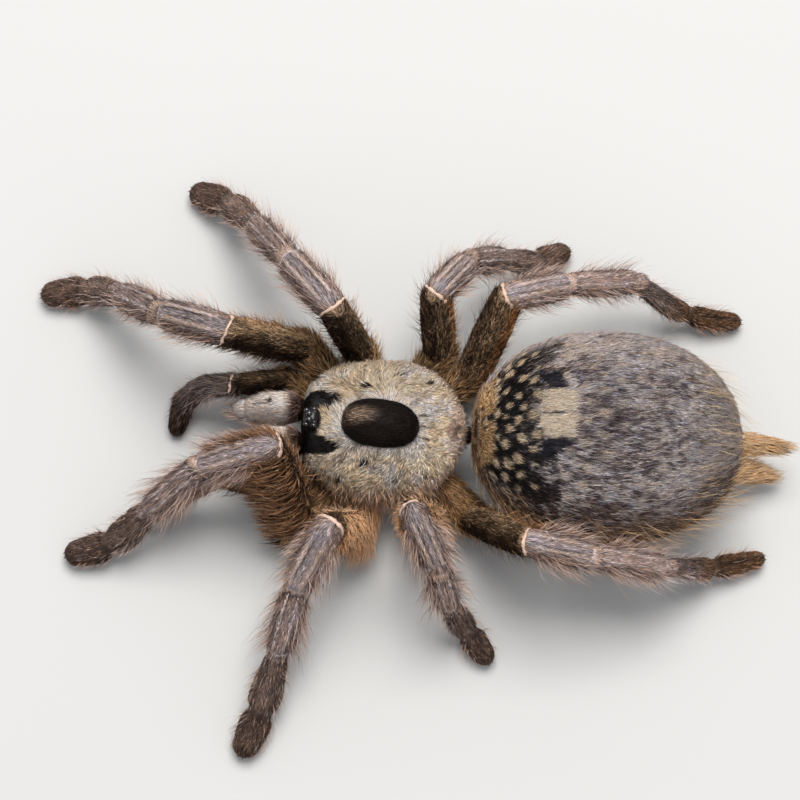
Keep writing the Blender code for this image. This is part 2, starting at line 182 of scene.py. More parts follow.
FUZZ_ORANGE = rgb(220, 166, 110)
STRAW_TIP = rgb(222, 196, 150)
BROW_PLUM = rgb(74, 53, 47)
LINE_CREAM = rgb(224, 204, 198)
ABDOMEN_BLACK = rgb(18, 12, 11)
ABDOMEN_PLUM = rgb(70, 58, 57)
ABDOMEN_BLUE = rgb(36, 35, 43)
ABDOMEN_GREY = rgb(210, 198, 196)
ABDOMEN_SHADE = rgb(92, 81, 83)
# painted light on the abdomen's right flank, which faces the lamp
ABDOMEN_PAINTED_LIGHT = rgb(206, 190, 182)
# painted shade on the abdomen's left flank, which faces away from the lamp
ABDOMEN_PAINTED_SHADE = rgb(78, 62, 58)
ABDOMEN_DOT = rgb(206, 188, 172)
ABDOMEN_BELLY = rgb(104, 84, 68)
ABDOMEN_REAR = rgb(164, 148, 142)
ABDOMEN_GOLD = rgb(160, 128, 92)
ABDOMEN_FRONT = rgb(62, 42, 30)
SPINNERET_TAN = rgb(206, 168, 132)
COXA_TAN = rgb(170, 130, 92)
STERNUM_BLACK = rgb(52, 40, 34)
HORN_BLACK = rgb(34, 23, 18)
# the colour of the painted highlight at the front of the horn
BRONZE_PAINTED_SHEEN = rgb(220, 188, 162)
JAW_CREAM = rgb(226, 214, 206)
PLAIN_COLOURS = {"sternum": STERNUM_BLACK, "core": STERNUM_BLACK, "spinneret": SPINNERET_TAN}
# How light the segments are: of the right legs, the left legs and the rear pair.
LEG_TONES = {
    "patella": (1.15, 1.85, 1.8), "tibia": (1.25, 1.25, 2.3), "foot": (1.4, 1.0, 1.0),
    "leg_3_left_patella": (1.15, 1.3, 1.8),
}
# How light each femur is, where it differs: the right first and left fourth femora lighter, partly
# as painted light where the lamp falls on them, and the right second darker.
FEMUR_TONES_AND_LIGHT = {"leg_1_right_femur": 2.3, "leg_4_left_femur": 1.5, "leg_2_right_femur": 0.45}
# Small black spots in pairs on the shield: forward place, distance from the middle, half-sizes.
SHIELD_SPOTS = (
    (-1.6, 4.7, 0.8, 0.32), (-8.1, 6.0, 0.9, 0.45), (5.9, 5.7, 0.6, 0.3),
    (-4.6, 6.6, 0.5, 0.22), (2.2, 6.4, 0.5, 0.22),
)


def unit(vectors):
    """Vectors divided by their lengths."""
    return vectors / np.maximum(np.linalg.norm(vectors, axis=-1, keepdims=True), 1e-9)


def smooth(low, high, value):
    """0 at low, 1 at high and s²(3 - 2s) between."""
    share = np.clip((value - low) / (high - low), 0, 1)
    return share * share * (3 - 2 * share)


def mix(first, second, share):
    """First colour where share is 0 and second where it is 1."""
    share = np.asarray(share)[:, None]
    return first * (1 - share) + second * share


def layers(colour, *coats):
    """Colours laid one over another, each by its own share."""
    for over, share in coats:
        colour = mix(colour, over, share)
    return colour


def bump(value, middle, width):
    """A Gaussian, exp(-((value - middle) / width)²)."""
    return np.exp(-(((value - middle) / width) ** 2))


def noise(points, size, seed=0):
    """Smooth noise from -1 to 1: hashed values at the corners of cubes of a size, blended."""
    scaled = points / size + 71.3 + seed * 17.7
    cell = np.floor(scaled).astype(np.int64)
    part = scaled - cell
    part = part * part * (3 - 2 * part)
    total = np.zeros(len(points))
    for corner in range(8):
        step = np.array([corner & 1, corner >> 1 & 1, corner >> 2 & 1])
        key = ((cell + step) * np.array([73856093, 19349663, 83492791])).sum(1) + seed * 7919
        key = (key ^ (key >> 13)) * 1274126177 & 0x7FFFFFFF
        key = (key ^ (key >> 15)) * 668265263 & 0x7FFFFFFF
        value = (key >> 7 & 0xFFFF) / 32767.5 - 1
        total += value * np.prod(np.where(step, part, 1 - part), axis=1)
    return total


def heading(yaw, slope):
    """Unit vector with a compass heading from +X and a slope above the floor, in degrees."""
    level = cos(radians(slope))
    return np.array([level * cos(radians(yaw)), level * sin(radians(yaw)), sin(radians(slope))])


def chain(hip, yaws, slopes, lengths):
    """Joints from the hip to the toe, at the height that sets the toe on the floor."""
    spans = (*lengths[:-1], lengths[-1] - TOE_DOME)
    steps = [heading(yaw, slope) * span for yaw, slope, span in zip(yaws, slopes, spans)]
    rise = sum(step[2] for step in steps)
    joints = [np.array([hip[0], hip[1], TOE_HEIGHT - rise])]
    for step in steps:
        joints.append(joints[-1] + step)
    return joints


class Limb:
    """Rounded limb through two or three joints, domed past both ends.

    Point = axis + side·cos(a)·half-width + up·sin(a)·half-height, with a = 2πv. Half-sizes
    are given at the start, middle and end and follow a quadratic curve through them.
    """

    def __init__(self, name, kind, joints, widths, heights, across=None, pad=0.0, coat=LEG_COAT,
                 domes=None):
        self.name = name
        self.kind = kind
        self.joints = np.array(joints, float)
        steps = np.diff(self.joints, axis=0)
        self.spans = np.linalg.norm(steps, axis=1)
        self.ways = steps / self.spans[:, None]
        self.total = self.spans.sum()
        self.widths = np.array(widths, float) - coat
        self.heights = np.array(heights, float) - coat
        self.across = across
        self.pad = pad
        self.domes = (self.heights[0], self.heights[2]) if domes is None else domes
        self.lean = RIM_LEAN_OTHERS
        ends = {"patella": (1,), "tibia": (0, 1), "foot": (0,), "palp_foot": (0,)}
        self.waists = [self.total * end for end in ends.get(kind, ())]
        grow = max(self.widths.max(), self.heights.max()) + 0.5
        self.low = self.joints.min(0) - grow
        self.high = self.joints.max(0) + grow

    def girth(self, values, distance):
        """Half-size at a distance: a quadratic curve, with pads and a notch on a foot."""
        share = np.clip(distance / self.total, 0, 1)
        first, middle, last = values
        bend = 2 * middle - (first + last) / 2
        size = first * (1 - share) ** 2 + 2 * bend * share * (1 - share) + last * share**2
        for place in self.waists:
            size = size * (1 - WAIST_DEPTH * bump(distance, place, WAIST_REACH))
        if self.pad:
            swell = self.swell(distance)
            size = size * (swell if values is self.widths else 0.5 + 0.5 * np.minimum(swell, 1))
        return size

    def swell(self, distance):
        """Sideways growth of a foot: a Gaussian pad on each span, less one at the joint."""
        first, second = self.spans
        pads = bump(distance, 0.66 * first, 0.32 * first)
        pads += bump(distance - first, 0.52 * second, 0.55 * second)
        return 1 + self.pad * pads - NOTCH_DEPTH * bump(distance, first, NOTCH_REACH)

    def axis(self, distance):
        """Points and directions along the axis, eased round the middle joint of three."""
        way = self.ways[0]
        if len(self.ways) == 1:
            point = self.joints[0] + way * distance[:, None]
            return point, np.broadcast_to(way, point.shape)
        turn = 0.28 * self.total
        share = np.clip((distance - self.spans[0] + turn) / (2 * turn), 0, 1)[:, None]
        start = self.joints[1] - way * turn
        end = self.joints[1] + self.ways[1] * turn
        point = start * (1 - share) ** 2 + self.joints[1] * 2 * share * (1 - share) + end * share**2
        before = np.minimum(distance - self.spans[0] + turn, 0)[:, None]
        after = np.maximum(distance - self.spans[0] - turn, 0)[:, None]
        point = point + way * before + self.ways[1] * after
        return point, unit(way * (1 - share) + self.ways[1] * share)

    def frame(self, way):
        """Side and up directions square to the limb's way."""
        side = np.cross([0, 0, 1], way) if self.across is None else self.across
        side = unit(side - way * (way * side).sum(-1, keepdims=True))
        return side, np.cross(way, side)

    def distance(self, u):
        """Distance along the limb for u, from -dome to total + dome."""
        return u * (self.total + sum(self.domes)) - self.domes[0]

    def surface(self, u, v):
        distance = self.distance(u)
        before = np.clip(-distance / self.domes[0], 0, 1)
        after = np.clip((distance - self.total) / self.domes[1], 0, 1)
        dome = np.sqrt(np.maximum(1 - before**2 - after**2, 0))
        point, way = self.axis(distance)
        side, up = self.frame(way)
        angle = 2 * pi * v
        wide = np.cos(angle) * self.girth(self.widths, distance) * dome
        high = np.sin(angle) * self.girth(self.heights, distance) * dome
        return point + side * wide[:, None] + up * high[:, None]

    def locate(self, points):
        """u, v and height above the surface of each point, by the nearer of the spans."""
        best = None
        passed = 0.0
        for joint, way, span in zip(self.joints, self.ways, self.spans):
            offset = points - joint
            run = offset @ way
            first, last = passed == 0, passed + span > self.total - 1e-6
            inner = np.clip(run, 0, span)
            beyond = run - inner
            side, up = self.frame(way)
            wide = self.girth(self.widths, passed + inner)
            high = self.girth(self.heights, passed + inner)
            across, above = offset @ side / wide, offset @ up / high
            dome = np.where(beyond < 0, self.domes[0], self.domes[1])
            radius = np.sqrt(across**2 + above**2 + (beyond / dome) ** 2)
            height = (radius - 1) * np.minimum(wide, high)
            shown = np.minimum(run, span) if first and not last else run
            shown = np.maximum(shown, 0) if last and not first else shown
            u = (passed + shown + self.domes[0]) / (self.total + sum(self.domes))
            v = np.arctan2(above, across) / (2 * pi) % 1
            found = np.stack([np.clip(u, 0, 1), v, height])
            best = found if best is None else np.where(found[2] < best[2], found, best)
            passed += span
        return best

    def place(self, u, v):
        """Share along from joint to joint, and how far each point faces up and sideways."""
        return self.distance(u) / self.total, np.sin(2 * pi * v), np.cos(2 * pi * v)

    def past_rim(self, points):
        """How far points lie past the leaning plane of the rim: way·cos(a) + up·sin(a) - place."""
        way = self.ways[0]
        up = self.frame(way)[1]
        lean = radians(self.lean)
        normal = way * cos(lean) + up * sin(lean)
        return (points - self.joints[0]) @ normal - RIM_PLACE[self.lean]


class Oval:
    """Superellipsoid with its poles along X: (|x|ⁿ + |y|ⁿ + |z|ⁿ)^(1/n) = 1, turned by a yaw."""

    def __init__(self, name, kind, centre, size, power=2.0, yaw=0, coat=0.0):
        self.name = name
        self.kind = kind
        self.centre = np.array(centre, float)
        self.size = np.array(size, float) - coat
        self.power = power
        turn = radians(yaw)
        self.turn = np.array([[cos(turn), sin(turn), 0], [-sin(turn), cos(turn), 0], [0, 0, 1]])
        self.low = self.centre - self.size.max()
        self.high = self.centre + self.size.max()

    def surface(self, u, v):
        tilt, angle = pi * u, 2 * pi * v
        shape = np.stack(
            [-np.cos(tilt), np.sin(tilt) * np.cos(angle), np.sin(tilt) * np.sin(angle)], 1
        )
        reach = (np.abs(shape) ** self.power).sum(1) ** (1 / self.power)
        return self.centre + (shape * self.size / reach[:, None]) @ self.turn

    def locate(self, points):
        shape = ((points - self.centre) @ self.turn.T) / self.size
        reach = (np.abs(shape) ** self.power).sum(1) ** (1 / self.power)
        tilt = np.arctan2(np.hypot(shape[:, 1], shape[:, 2]), -shape[:, 0])
        v = np.arctan2(shape[:, 2], shape[:, 1]) / (2 * pi) % 1
        return np.stack([tilt / pi, v, (reach - 1) * self.size.min()])

    def place(self, u, v):
        return u, np.sin(2 * pi * v), np.cos(2 * pi * v)


class Shield:
    """The carapace: u from the middle of the top to the rim, v round, clockwise from the rear."""

    def __init__(self, coat):
        self.name = "carapace"
        self.kind = "carapace"
        self.coat = coat
        self.low = np.array([CARAPACE_FRONT, -CARAPACE_HALF_WIDTH, CARAPACE_UNDER])
        self.high = np.array([CARAPACE_REAR, CARAPACE_HALF_WIDTH, CARAPACE_TOP])

    def half_width(self, x):
        """Half-width at x: a superellipse, narrowed a little towards the front."""
        ahead = x < CARAPACE_WIDEST
        reach = np.where(ahead, CARAPACE_WIDEST - CARAPACE_FRONT, CARAPACE_REAR - CARAPACE_WIDEST)
        power = np.where(ahead, FRONT_SQUARENESS, REAR_SQUARENESS)
        share = np.minimum(np.abs(x - CARAPACE_WIDEST) / reach, 1)
        narrowing = np.where(ahead, 1 - 0.12 * share**2, 1)
        return CARAPACE_HALF_WIDTH * narrowing * (1 - share**power) ** (1 / power)

    def height(self, x, y):
        """Height at x, y: the ridge, times (1 - (y/w)^2.4)^0.55 across, less the furrows."""
        behind = np.maximum(x - 1.0, 0) / (CARAPACE_REAR - 1.0)
        ridge = CARAPACE_TOP - 3.2 * behind**1.6
        across = np.minimum(np.abs(y) / np.maximum(self.half_width(x), 0.1), 1)
        drop = (1 - across**2.4) ** 0.55
        front = np.clip((x - CARAPACE_FRONT) / 1.2, 0, 1) ** 0.5
        return CARAPACE_RIM + (ridge - CARAPACE_RIM) * drop * front - self.furrows(x, y)

    def furrows(self, x, y):
        """Shallow furrows that run out from the horn between the legs, as Gaussian grooves."""
        run = np.hypot(x - 1.0, y)
        way = np.degrees(np.arctan2(np.abs(y), x - 1.0))
        depth = np.zeros_like(x)
        for angle, strength in ((38, 0.16), (72, 0.2), (104, 0.2), (139, 0.34)):
            across = np.radians(way - angle) * run
            depth += strength * bump(across, 0, 0.55)
        return depth * smooth(3.0, 4.6, run) * smooth(9.6, 7.4, run)

    def surface(self, u, v):
        angle = -2 * pi * v
        level = np.stack([np.cos(angle), np.sin(angle)])
        behind = level[0] > 0
        reach = np.where(behind, CARAPACE_REAR - CARAPACE_WIDEST, CARAPACE_WIDEST - CARAPACE_FRONT)
        power = np.where(behind, REAR_SQUARENESS, FRONT_SQUARENESS)
        size = (np.abs(level[0]) ** power + np.abs(level[1]) ** power) ** (1 / power)
        x = CARAPACE_WIDEST + reach * level[0] / size * u
        y = CARAPACE_HALF_WIDTH * level[1] / size * u
        ahead = np.clip((CARAPACE_WIDEST - x) / reach, 0, 1)
        y = y * (1 - 0.12 * ahead**2)
        z = self.height(x, y)
        shrink = 1 - self.coat / CARAPACE_HALF_WIDTH
        x = CARAPACE_WIDEST + (x - CARAPACE_WIDEST) * shrink
        return np.stack([x, y * shrink, z - self.coat * 0.9], 1)

    def locate(self, points):
        x, y, z = points.T
        wide = self.half_width(x) - self.coat
        inside = np.abs(y) < wide
        top = self.height(x, y) - self.coat
        height = np.where(z < CARAPACE_UNDER, CARAPACE_UNDER - z, z - top)
        return np.stack([np.zeros_like(x), np.zeros_like(x), np.where(inside, height, 9.0)])

    def place(self, u, v):
        return u, np.ones_like(u), np.zeros_like(u)


def femur_part(stem, joints, radius):
    """Femur, with its depth in the plane of the bend at the knee."""
    way, after = unit(np.diff(joints[:3], axis=0))
    heights = SEGMENT_HEIGHTS * radius * FEMUR_DEPTH
    return Limb(
        stem + "femur", "femur", joints[:2], SEGMENT_WIDTHS * radius * FEMUR_WIDTH, heights,
        unit(np.cross(way, after)), domes=(heights[0] - LEG_COAT, KNEE_DOME),
    )


def leg_parts(side, number):
    """Coxa, femur, patella, tibia and foot of one leg, as limbs inside its solids."""
    hip, yaws, slopes = LEG_POSES[side, number]
    radii = LEG_RADII[number]
    joints = chain(hip, yaws, slopes, LEG_LENGTHS[number])
    stem = f"leg_{number}_{side}_"
    parts = [coxa_part(stem, side, number, joints[0], radii[0]), femur_part(stem, joints, radii[0])]
    for kind, radius, ends in zip(("patella", "tibia"), radii[1:], (joints[1:3], joints[2:4])):
        widths, heights = SEGMENT_WIDTHS * radius, SEGMENT_HEIGHTS * radius
        parts.append(Limb(stem + kind, kind, ends, widths, heights))
    parts[2].lean = RIM_LEAN.get((side, number), RIM_LEAN_OTHERS)
    widths = (radii[3] * 0.9, (radii[3] + radii[4]) / 2, radii[4] * 0.9)
    heights = (radii[3] * 0.92, radii[3] * 0.9, TOE_HEIGHT + 0.2)
    parts.append(Limb(stem + "foot", "foot", joints[3:6], widths, heights, pad=PAD_SWELL[number]))
    return parts


def coxa_part(stem, side, number, hip, radius):
    """Coxa and trochanter, from beside the sternum to the femur."""
    x, y = COXA_ROOTS[number]
    root = np.array([x, y if side == "right" else -y, COXA_ROOT_HEIGHT])
    widths = (COXA_ROOT_RADIUS, (COXA_ROOT_RADIUS + radius) * 0.53, radius)
    return Limb(stem + "coxa", "coxa", [root, hip], widths, widths)


def palp_parts(side):
    """Coxa, femur, shank and foot of one feeler, as limbs inside its solids."""
    hip, yaws, slopes = PALP_POSES[side]
    joints = chain(hip, yaws, slopes, PALP_LENGTHS)
    stem = f"palp_{side}_"
    radii = PALP_RADII
    heights = (radii[1], radii[1], radii[2])
    foot_widths = (radii[2], radii[3], radii[3] * 0.85)
    foot_heights = (radii[2] * 0.95, radii[3], TOE_HEIGHT + 0.2)
    return [
        coxa_part(stem, side, 0, joints[0], radii[0]), femur_part(stem, joints, radii[0]),
        Limb(stem + "shank", "palp", joints[1:4], (radii[1],) * 3, heights),
        Limb(stem + "foot", "palp_foot", joints[3:5], foot_widths, foot_heights),
    ]


def chelicera_part(side, sign):
    """One jaw, a tall rounded limb that juts forward from under the carapace."""
    y = sign * CHELICERA_OFFSET
    end = CHELICERA_FRONT[0] + CHELICERA_HALF_WIDTH * 0.72
    joints = [(CHELICERA_BACK[0] - 0.5, y, CHELICERA_BACK[1]), (end, y, CHELICERA_FRONT[1])]
    widths = (CHELICERA_HALF_WIDTH, CHELICERA_HALF_WIDTH, CHELICERA_HALF_WIDTH * 0.72)
    heights, domes = (3.3, 3.6, 2.2), (1.7, 1.9)
    return Limb(f"chelicera_{side}", "chelicera", joints, widths, heights, coat=0.3, domes=domes)


def spinneret_part(side, sign):
    """One of the two long spinnerets behind the abdomen."""
    x, y, z = SPINNERET_BASE
    base = np.array([x, sign * y + SPINNERET_SHIFT, z])
    ends = [base, base + np.array(SPINNERET_REACH[side])]
    widths, heights = (1.5, 1.45, 0.85), (1.45, 1.4, 0.8)
    return Limb(f"spinneret_{side}", "spinneret", ends, widths, heights, coat=0.3)


SIDES = (("right", 1), ("left", -1))
LEGS = {key: leg_parts(*key) for key in LEG_POSES}
PALPS = {side: palp_parts(side) for side in PALP_POSES}
SHIELD = Shield(SHIELD_COAT)
ABDOMEN = Oval(
    "abdomen", "abdomen", ABDOMEN_PLACE, ABDOMEN_SIZE, ABDOMEN_SQUARENESS, coat=BODY_COAT
)
STERNUM = Oval("sternum", "sternum", STERNUM_PLACE, STERNUM_SIZE, 2.4, coat=0.2)
CORE = Oval("core", "core", (0.3, 0.0, 6.2), (8.7, 6.4, 2.0), 2.4)
PEDICEL = Limb(
    "pedicel", "core",
    [(CARAPACE_REAR - 3.5, 0, PEDICEL_HEIGHT - 1.0), (CARAPACE_REAR + 3.0, 0, PEDICEL_HEIGHT)],
    (PEDICEL_RADIUS,) * 3, (PEDICEL_RADIUS * 0.8,) * 3, coat=0.1,
)
JAWS = [chelicera_part(side, sign) for side, sign in SIDES]
SPINNERETS = [spinneret_part(side, sign) for side, sign in SIDES]
HORN = Oval("horn", "horn", HORN_PLACE, HORN_SIZE, 2.3, HORN_YAW, coat=0.12)
FLESH = [ABDOMEN, STERNUM, CORE, PEDICEL, *JAWS, *SPINNERETS]
FLESH += [part for parts in (*LEGS.values(), *PALPS.values()) for part in parts]
ALL_PARTS = [*FLESH, SHIELD, HORN]


# Markings: each function gives the coat's colour, its length and its density at places on a
# part. The skin takes its colour from the same functions.


def rear_face(part, points):
    """1 where a leg faces the tail end and -1 where it faces the head, square to its way."""
    way = part.ways[0]
    back = np.array([way[1], -way[0], 0.0]) * (1 if part.joints[0][1] > 0 else -1)
    offset = points - part.joints[0]
    return unit(offset - way * (offset @ way)[:, None]) @ unit(back)


def leg_markings(part, u, v, points):
    """Segment colours in fine lengthwise streaks, with thin bald stripes along the top."""
    kind, name = part.kind, part.name
    along, up, side = part.place(u, v)
    run = along * part.total
    length, density = np.ones(len(u)), np.ones(len(u))
    patchy = noise(points, 1.6, 3) * 0.5 + noise(points, 0.7, 4) * 0.5
    streak = noise(np.stack([v * 6.3 * part.widths[1] / 0.36, run / 2.6, u * 0], 1), 1.0, 12)
    away = 90 - np.degrees(np.arcsin(np.clip(up, -1, 1)))
    stripes = bump(away, 26, 6.0) * (up > 0)
    low = (RUST * 0.7, smooth(0.1, -0.6, up) * 0.8)
    joints = np.prod([1 - 0.55 * bump(run, place, 1.0) for place in part.waists], axis=0)
    if kind == "femur":
        rear = rear_face(part, points)
        # Lighter on the top and on the tail-side face: partly the femur's own olive colour, partly
        # painted light from above.
        olive_and_lit_face = rear * 0.75 + up * 0.55 + patchy * 0.2 + streak * 0.15
        colour = layers(
            FEMUR_BROWN, (FEMUR_OLIVE * FEMUR_TONES_AND_LIGHT.get(name, 0.85), smooth(-0.1, 1.15, olive_and_lit_face)),
            (FEMUR_EDGE, smooth(0.55, 0.95, rear) * 0.7),
            (GOLD, smooth(0.3, 0.0, along) * smooth(-0.2, 0.6, olive_and_lit_face) * 0.6),
        )
        colour = colour * (0.7 if name.startswith("palp") else 1.0)
        length = length * joints
    elif kind == "patella":
        inside = smooth(0.02, 0.12, along) * smooth(0.92, 0.84, along)
        before = smooth(0.1, -0.15, part.past_rim(points))
        colour = layers(
            PATELLA_SIDE, (PATELLA_GREY, smooth(0.6, 0.85, up)),
            (LILAC, smooth(0.9, 0.97, up) * 0.6), low, (CREAM * 1.1, stripes * inside),
            (PATELLA_SIDE * 0.6, bump(away, 13, 4.0) * (up > 0) * inside * 0.7),
            (mix(FEMUR_BROWN, FEMUR_OLIVE, smooth(0.5, 0.9, up)), before),
            (RIM_CREAM * 1.2, smooth(0.93, 0.99, along) * smooth(0.3, 0.8, up) * 0.8),
        )
        length = length * joints * (1 - 0.4 * before)
    elif kind == "tibia":
        inside = smooth(0.1, 0.2, along) * smooth(0.9, 0.75, along)
        colour = layers(
            PATELLA_SIDE * 0.9, (TIBIA_GREY, smooth(0.5, 0.85, up)), low,
            (SILVER, stripes * inside * 0.5),
        )
        length = length * joints
    elif kind == "coxa":
        tan = COXA_TAN * (0.55 if "right" in name else 1.0)
        colour = mix(STERNUM_BLACK * 1.6, tan, smooth(-0.3, 0.4, up))
    elif kind == "palp":
        colour = mix(PALP_BROWN, PALP_TOE_BROWN, smooth(0.5, 1.0, along) * 0.6)
        density = density * smooth(-0.16, -0.04, along)
    elif kind == "palp_foot":
        colour = mix(PALP_BROWN, PALP_TOE_BROWN, smooth(0.0, 0.5, along))
        length = length * 0.8
    else:
        joint = part.spans[0] / part.total
        colour = mix(METATARSUS_BROWN, TARSUS_BROWN, smooth(joint - 0.2, joint + 0.15, along))
        if "leg_4" in name:
            slit = bump(side, 0, 0.3) * (up > 0) * smooth(joint, joint + 0.1, along)
            colour = mix(TIBIA_GREY * 1.1, TOE_TAN, smooth(joint * 0.3, joint, along))
            colour = mix(colour, TARSUS_BROWN * 0.4, slit)
        pad = smooth(0.45, -0.3, up) * smooth(joint - 0.35, joint, along)
        colour = mix(colour, RUST, pad * 0.5)
        length = length * (1 - 0.3 * smooth(joint, 1, along)) * joints
        length = length * (1 - 0.6 * bump(along - joint, -0.02, 0.06))
        colour = colour * (1 - 0.6 * bump(along - joint, 0.02, 0.05))[:, None]
    if kind in ("tibia", "foot", "palp_foot"):
        colour = colour * (1 - 0.6 * bump(run, 0.3, 0.8))[:, None]
    tones = LEG_TONES.get(name, LEG_TONES.get(kind, (1.0,) * 3))
    colour = colour * tones[2 if "leg_4" in name else "left" in name]
    return colour * (1 + 0.15 * patchy + 0.5 * streak)[:, None], length, density


def spot_rows(points):
    """1 inside the round spots of the abdomen: staggered rows round its length.

    Rows lie every 2 mm of arc from the front, and spots every 16 degrees round the middle.
    """
    x, y, z = (points - ABDOMEN.centre).T
    arc = 14.5 * np.arccos(np.clip(-x / 16.1, -1, 1))
    angle = np.degrees(np.arctan2(y, z)) - 3.5
    row = np.round((arc - 5.1) / 1.9)
    shift = np.where(row % 2 == 0, 0.0, 7.0)
    column = np.round((angle - 7.0 - shift) / 14.0)
    wander = np.sin(row * 12.9 + column * 78.2), np.sin(row * 39.3 + column * 11.1)
    out = arc - 5.1 - row * 1.9 - wander[0] * 0.35
    across = np.radians(angle - 7.0 - shift - column * 14.0 - wander[1] * 2.5) * np.hypot(y, z)
    reach = 0.44 + 0.16 * np.sin(row * 7.7 + column * 5.3) + noise(points, 0.45, 9) * 0.22
    return smooth(reach + 0.2, reach - 0.2, np.hypot(out * 0.9, across))


def abdomen_markings(points):
    """Black front with cream spots, a cream patch split by a thin line, and a grizzled rear. The
    right flank is paler with painted light and the left flank darker with painted shade.
    """
    x, y, z = (points - ABDOMEN.centre).T
    y = y - 0.6
    angle = np.abs(np.degrees(np.arctan2(y, z)))
    rough = noise(points, 1.3, 1) * 0.5 + noise(points, 0.55, 2) * 0.5
    broad = noise(points, 3.2, 5)
    grain = noise(points * np.array([0.35, 1.0, 1.0]), 0.24, 16)
    rear = smooth(-7.0, 9.0, x)
    grizzle = 0.32 + 0.26 * rear + rough * 0.75 + broad * 0.2 + grain * 0.7
    # far is the right flank, paler as painted light; near is the left flank, darker as painted
    # shade
    far, near = smooth(25, 60, angle) * (y > 0), smooth(40, 65, angle) * (y < 0)
    wide = np.abs(y)
    bars = bump(x - 0.7 + 0.3 * wide, 0, 1.5) * smooth(7.2, 5.6, wide)
    bars += bump(x - 6.0 + 0.3 * wide, 0, 1.3) * smooth(6.0, 4.5, wide) * 0.6
    middle = bump(y, 0, 0.9) * smooth(-3.4, -2.6, x) * smooth(10, 4, x)
    dark = np.clip(bars * 0.5 + middle * 0.35 + (rough + grain * 0.4) * 0.55, 0, 0.85)
    spots = spot_rows(points)
    dots = spots * smooth(-7.5, -5.5, x) * (0.75 - 0.5 * rear) * smooth(75, 55, angle)
    front = smooth(-4.6, -9.6, x + rough * 3.2 + grain * 1.2 - 0.022 * angle)
    black = front * smooth(85, 55, angle) * np.clip(0.95 + rough * 0.5 + grain * 0.4, 0, 1)
    gold = smooth(-13.0, -13.7, x) * smooth(-15.6, -14.9, x) * smooth(5.6, 4.4, wide)
    blotch = np.hypot((x + 6.6) / 1.75, (wide - 4.1 + 0.3 * (x + 6.6)) / 1.15)
    cut = x + 8.3 - 0.5 * np.maximum(wide - 1.6, 0)
    patch = smooth(0.1, 0.6, cut + rough * 0.6) * smooth(-3.3, -3.9, x + rough * 0.9)
    patch = patch * smooth(3.0, 2.6, wide + rough * 0.6) * smooth(0.06, 0.2, wide)
    low = angle + broad * 12 + rough * 8 + 8 * (y < 0)
    colour = layers(
        ABDOMEN_SHADE, (ABDOMEN_GREY, smooth(0.25, 0.75, grizzle)),
        (ABDOMEN_REAR, smooth(8.5, 13.5, x + broad) * 0.6),
        (ABDOMEN_PAINTED_LIGHT, far * np.clip(0.6 + rough, 0, 1)),
        (ABDOMEN_PAINTED_SHADE, near * np.clip(0.8 - rough - grain * 0.5, 0, 1)),
        (ABDOMEN_PLUM, dark), (ABDOMEN_DOT, dots), (ABDOMEN_BLACK, black),
        (SPOT_CREAM, spots * smooth(-7.0, -8.4, x) * smooth(76, 56, angle) * 0.85),
        (ABDOMEN_GOLD, gold * smooth(0.15, 0.5, wide) * smooth(-0.5, 0.1, rough)),
        (ABDOMEN_FRONT, smooth(-14.9, -15.4, x) * 0.8),
        (ABDOMEN_BLUE, smooth(1.25, 0.75, blotch + rough * 0.4) * 0.9),
        (PATCH_CREAM, patch * (0.9 + 0.1 * grain)), (ABDOMEN_BELLY, smooth(70, 102, low)),
        (STERNUM_BLACK, smooth(120, 150, angle) * 0.7),
    )
    length = 1 + 0.2 * smooth(50, 80, angle) + 0.2 * smooth(8, 14, x) - 0.3 * smooth(-3, -7, x)
    return colour, length, np.where(angle > 105, 0.5, 1.0)


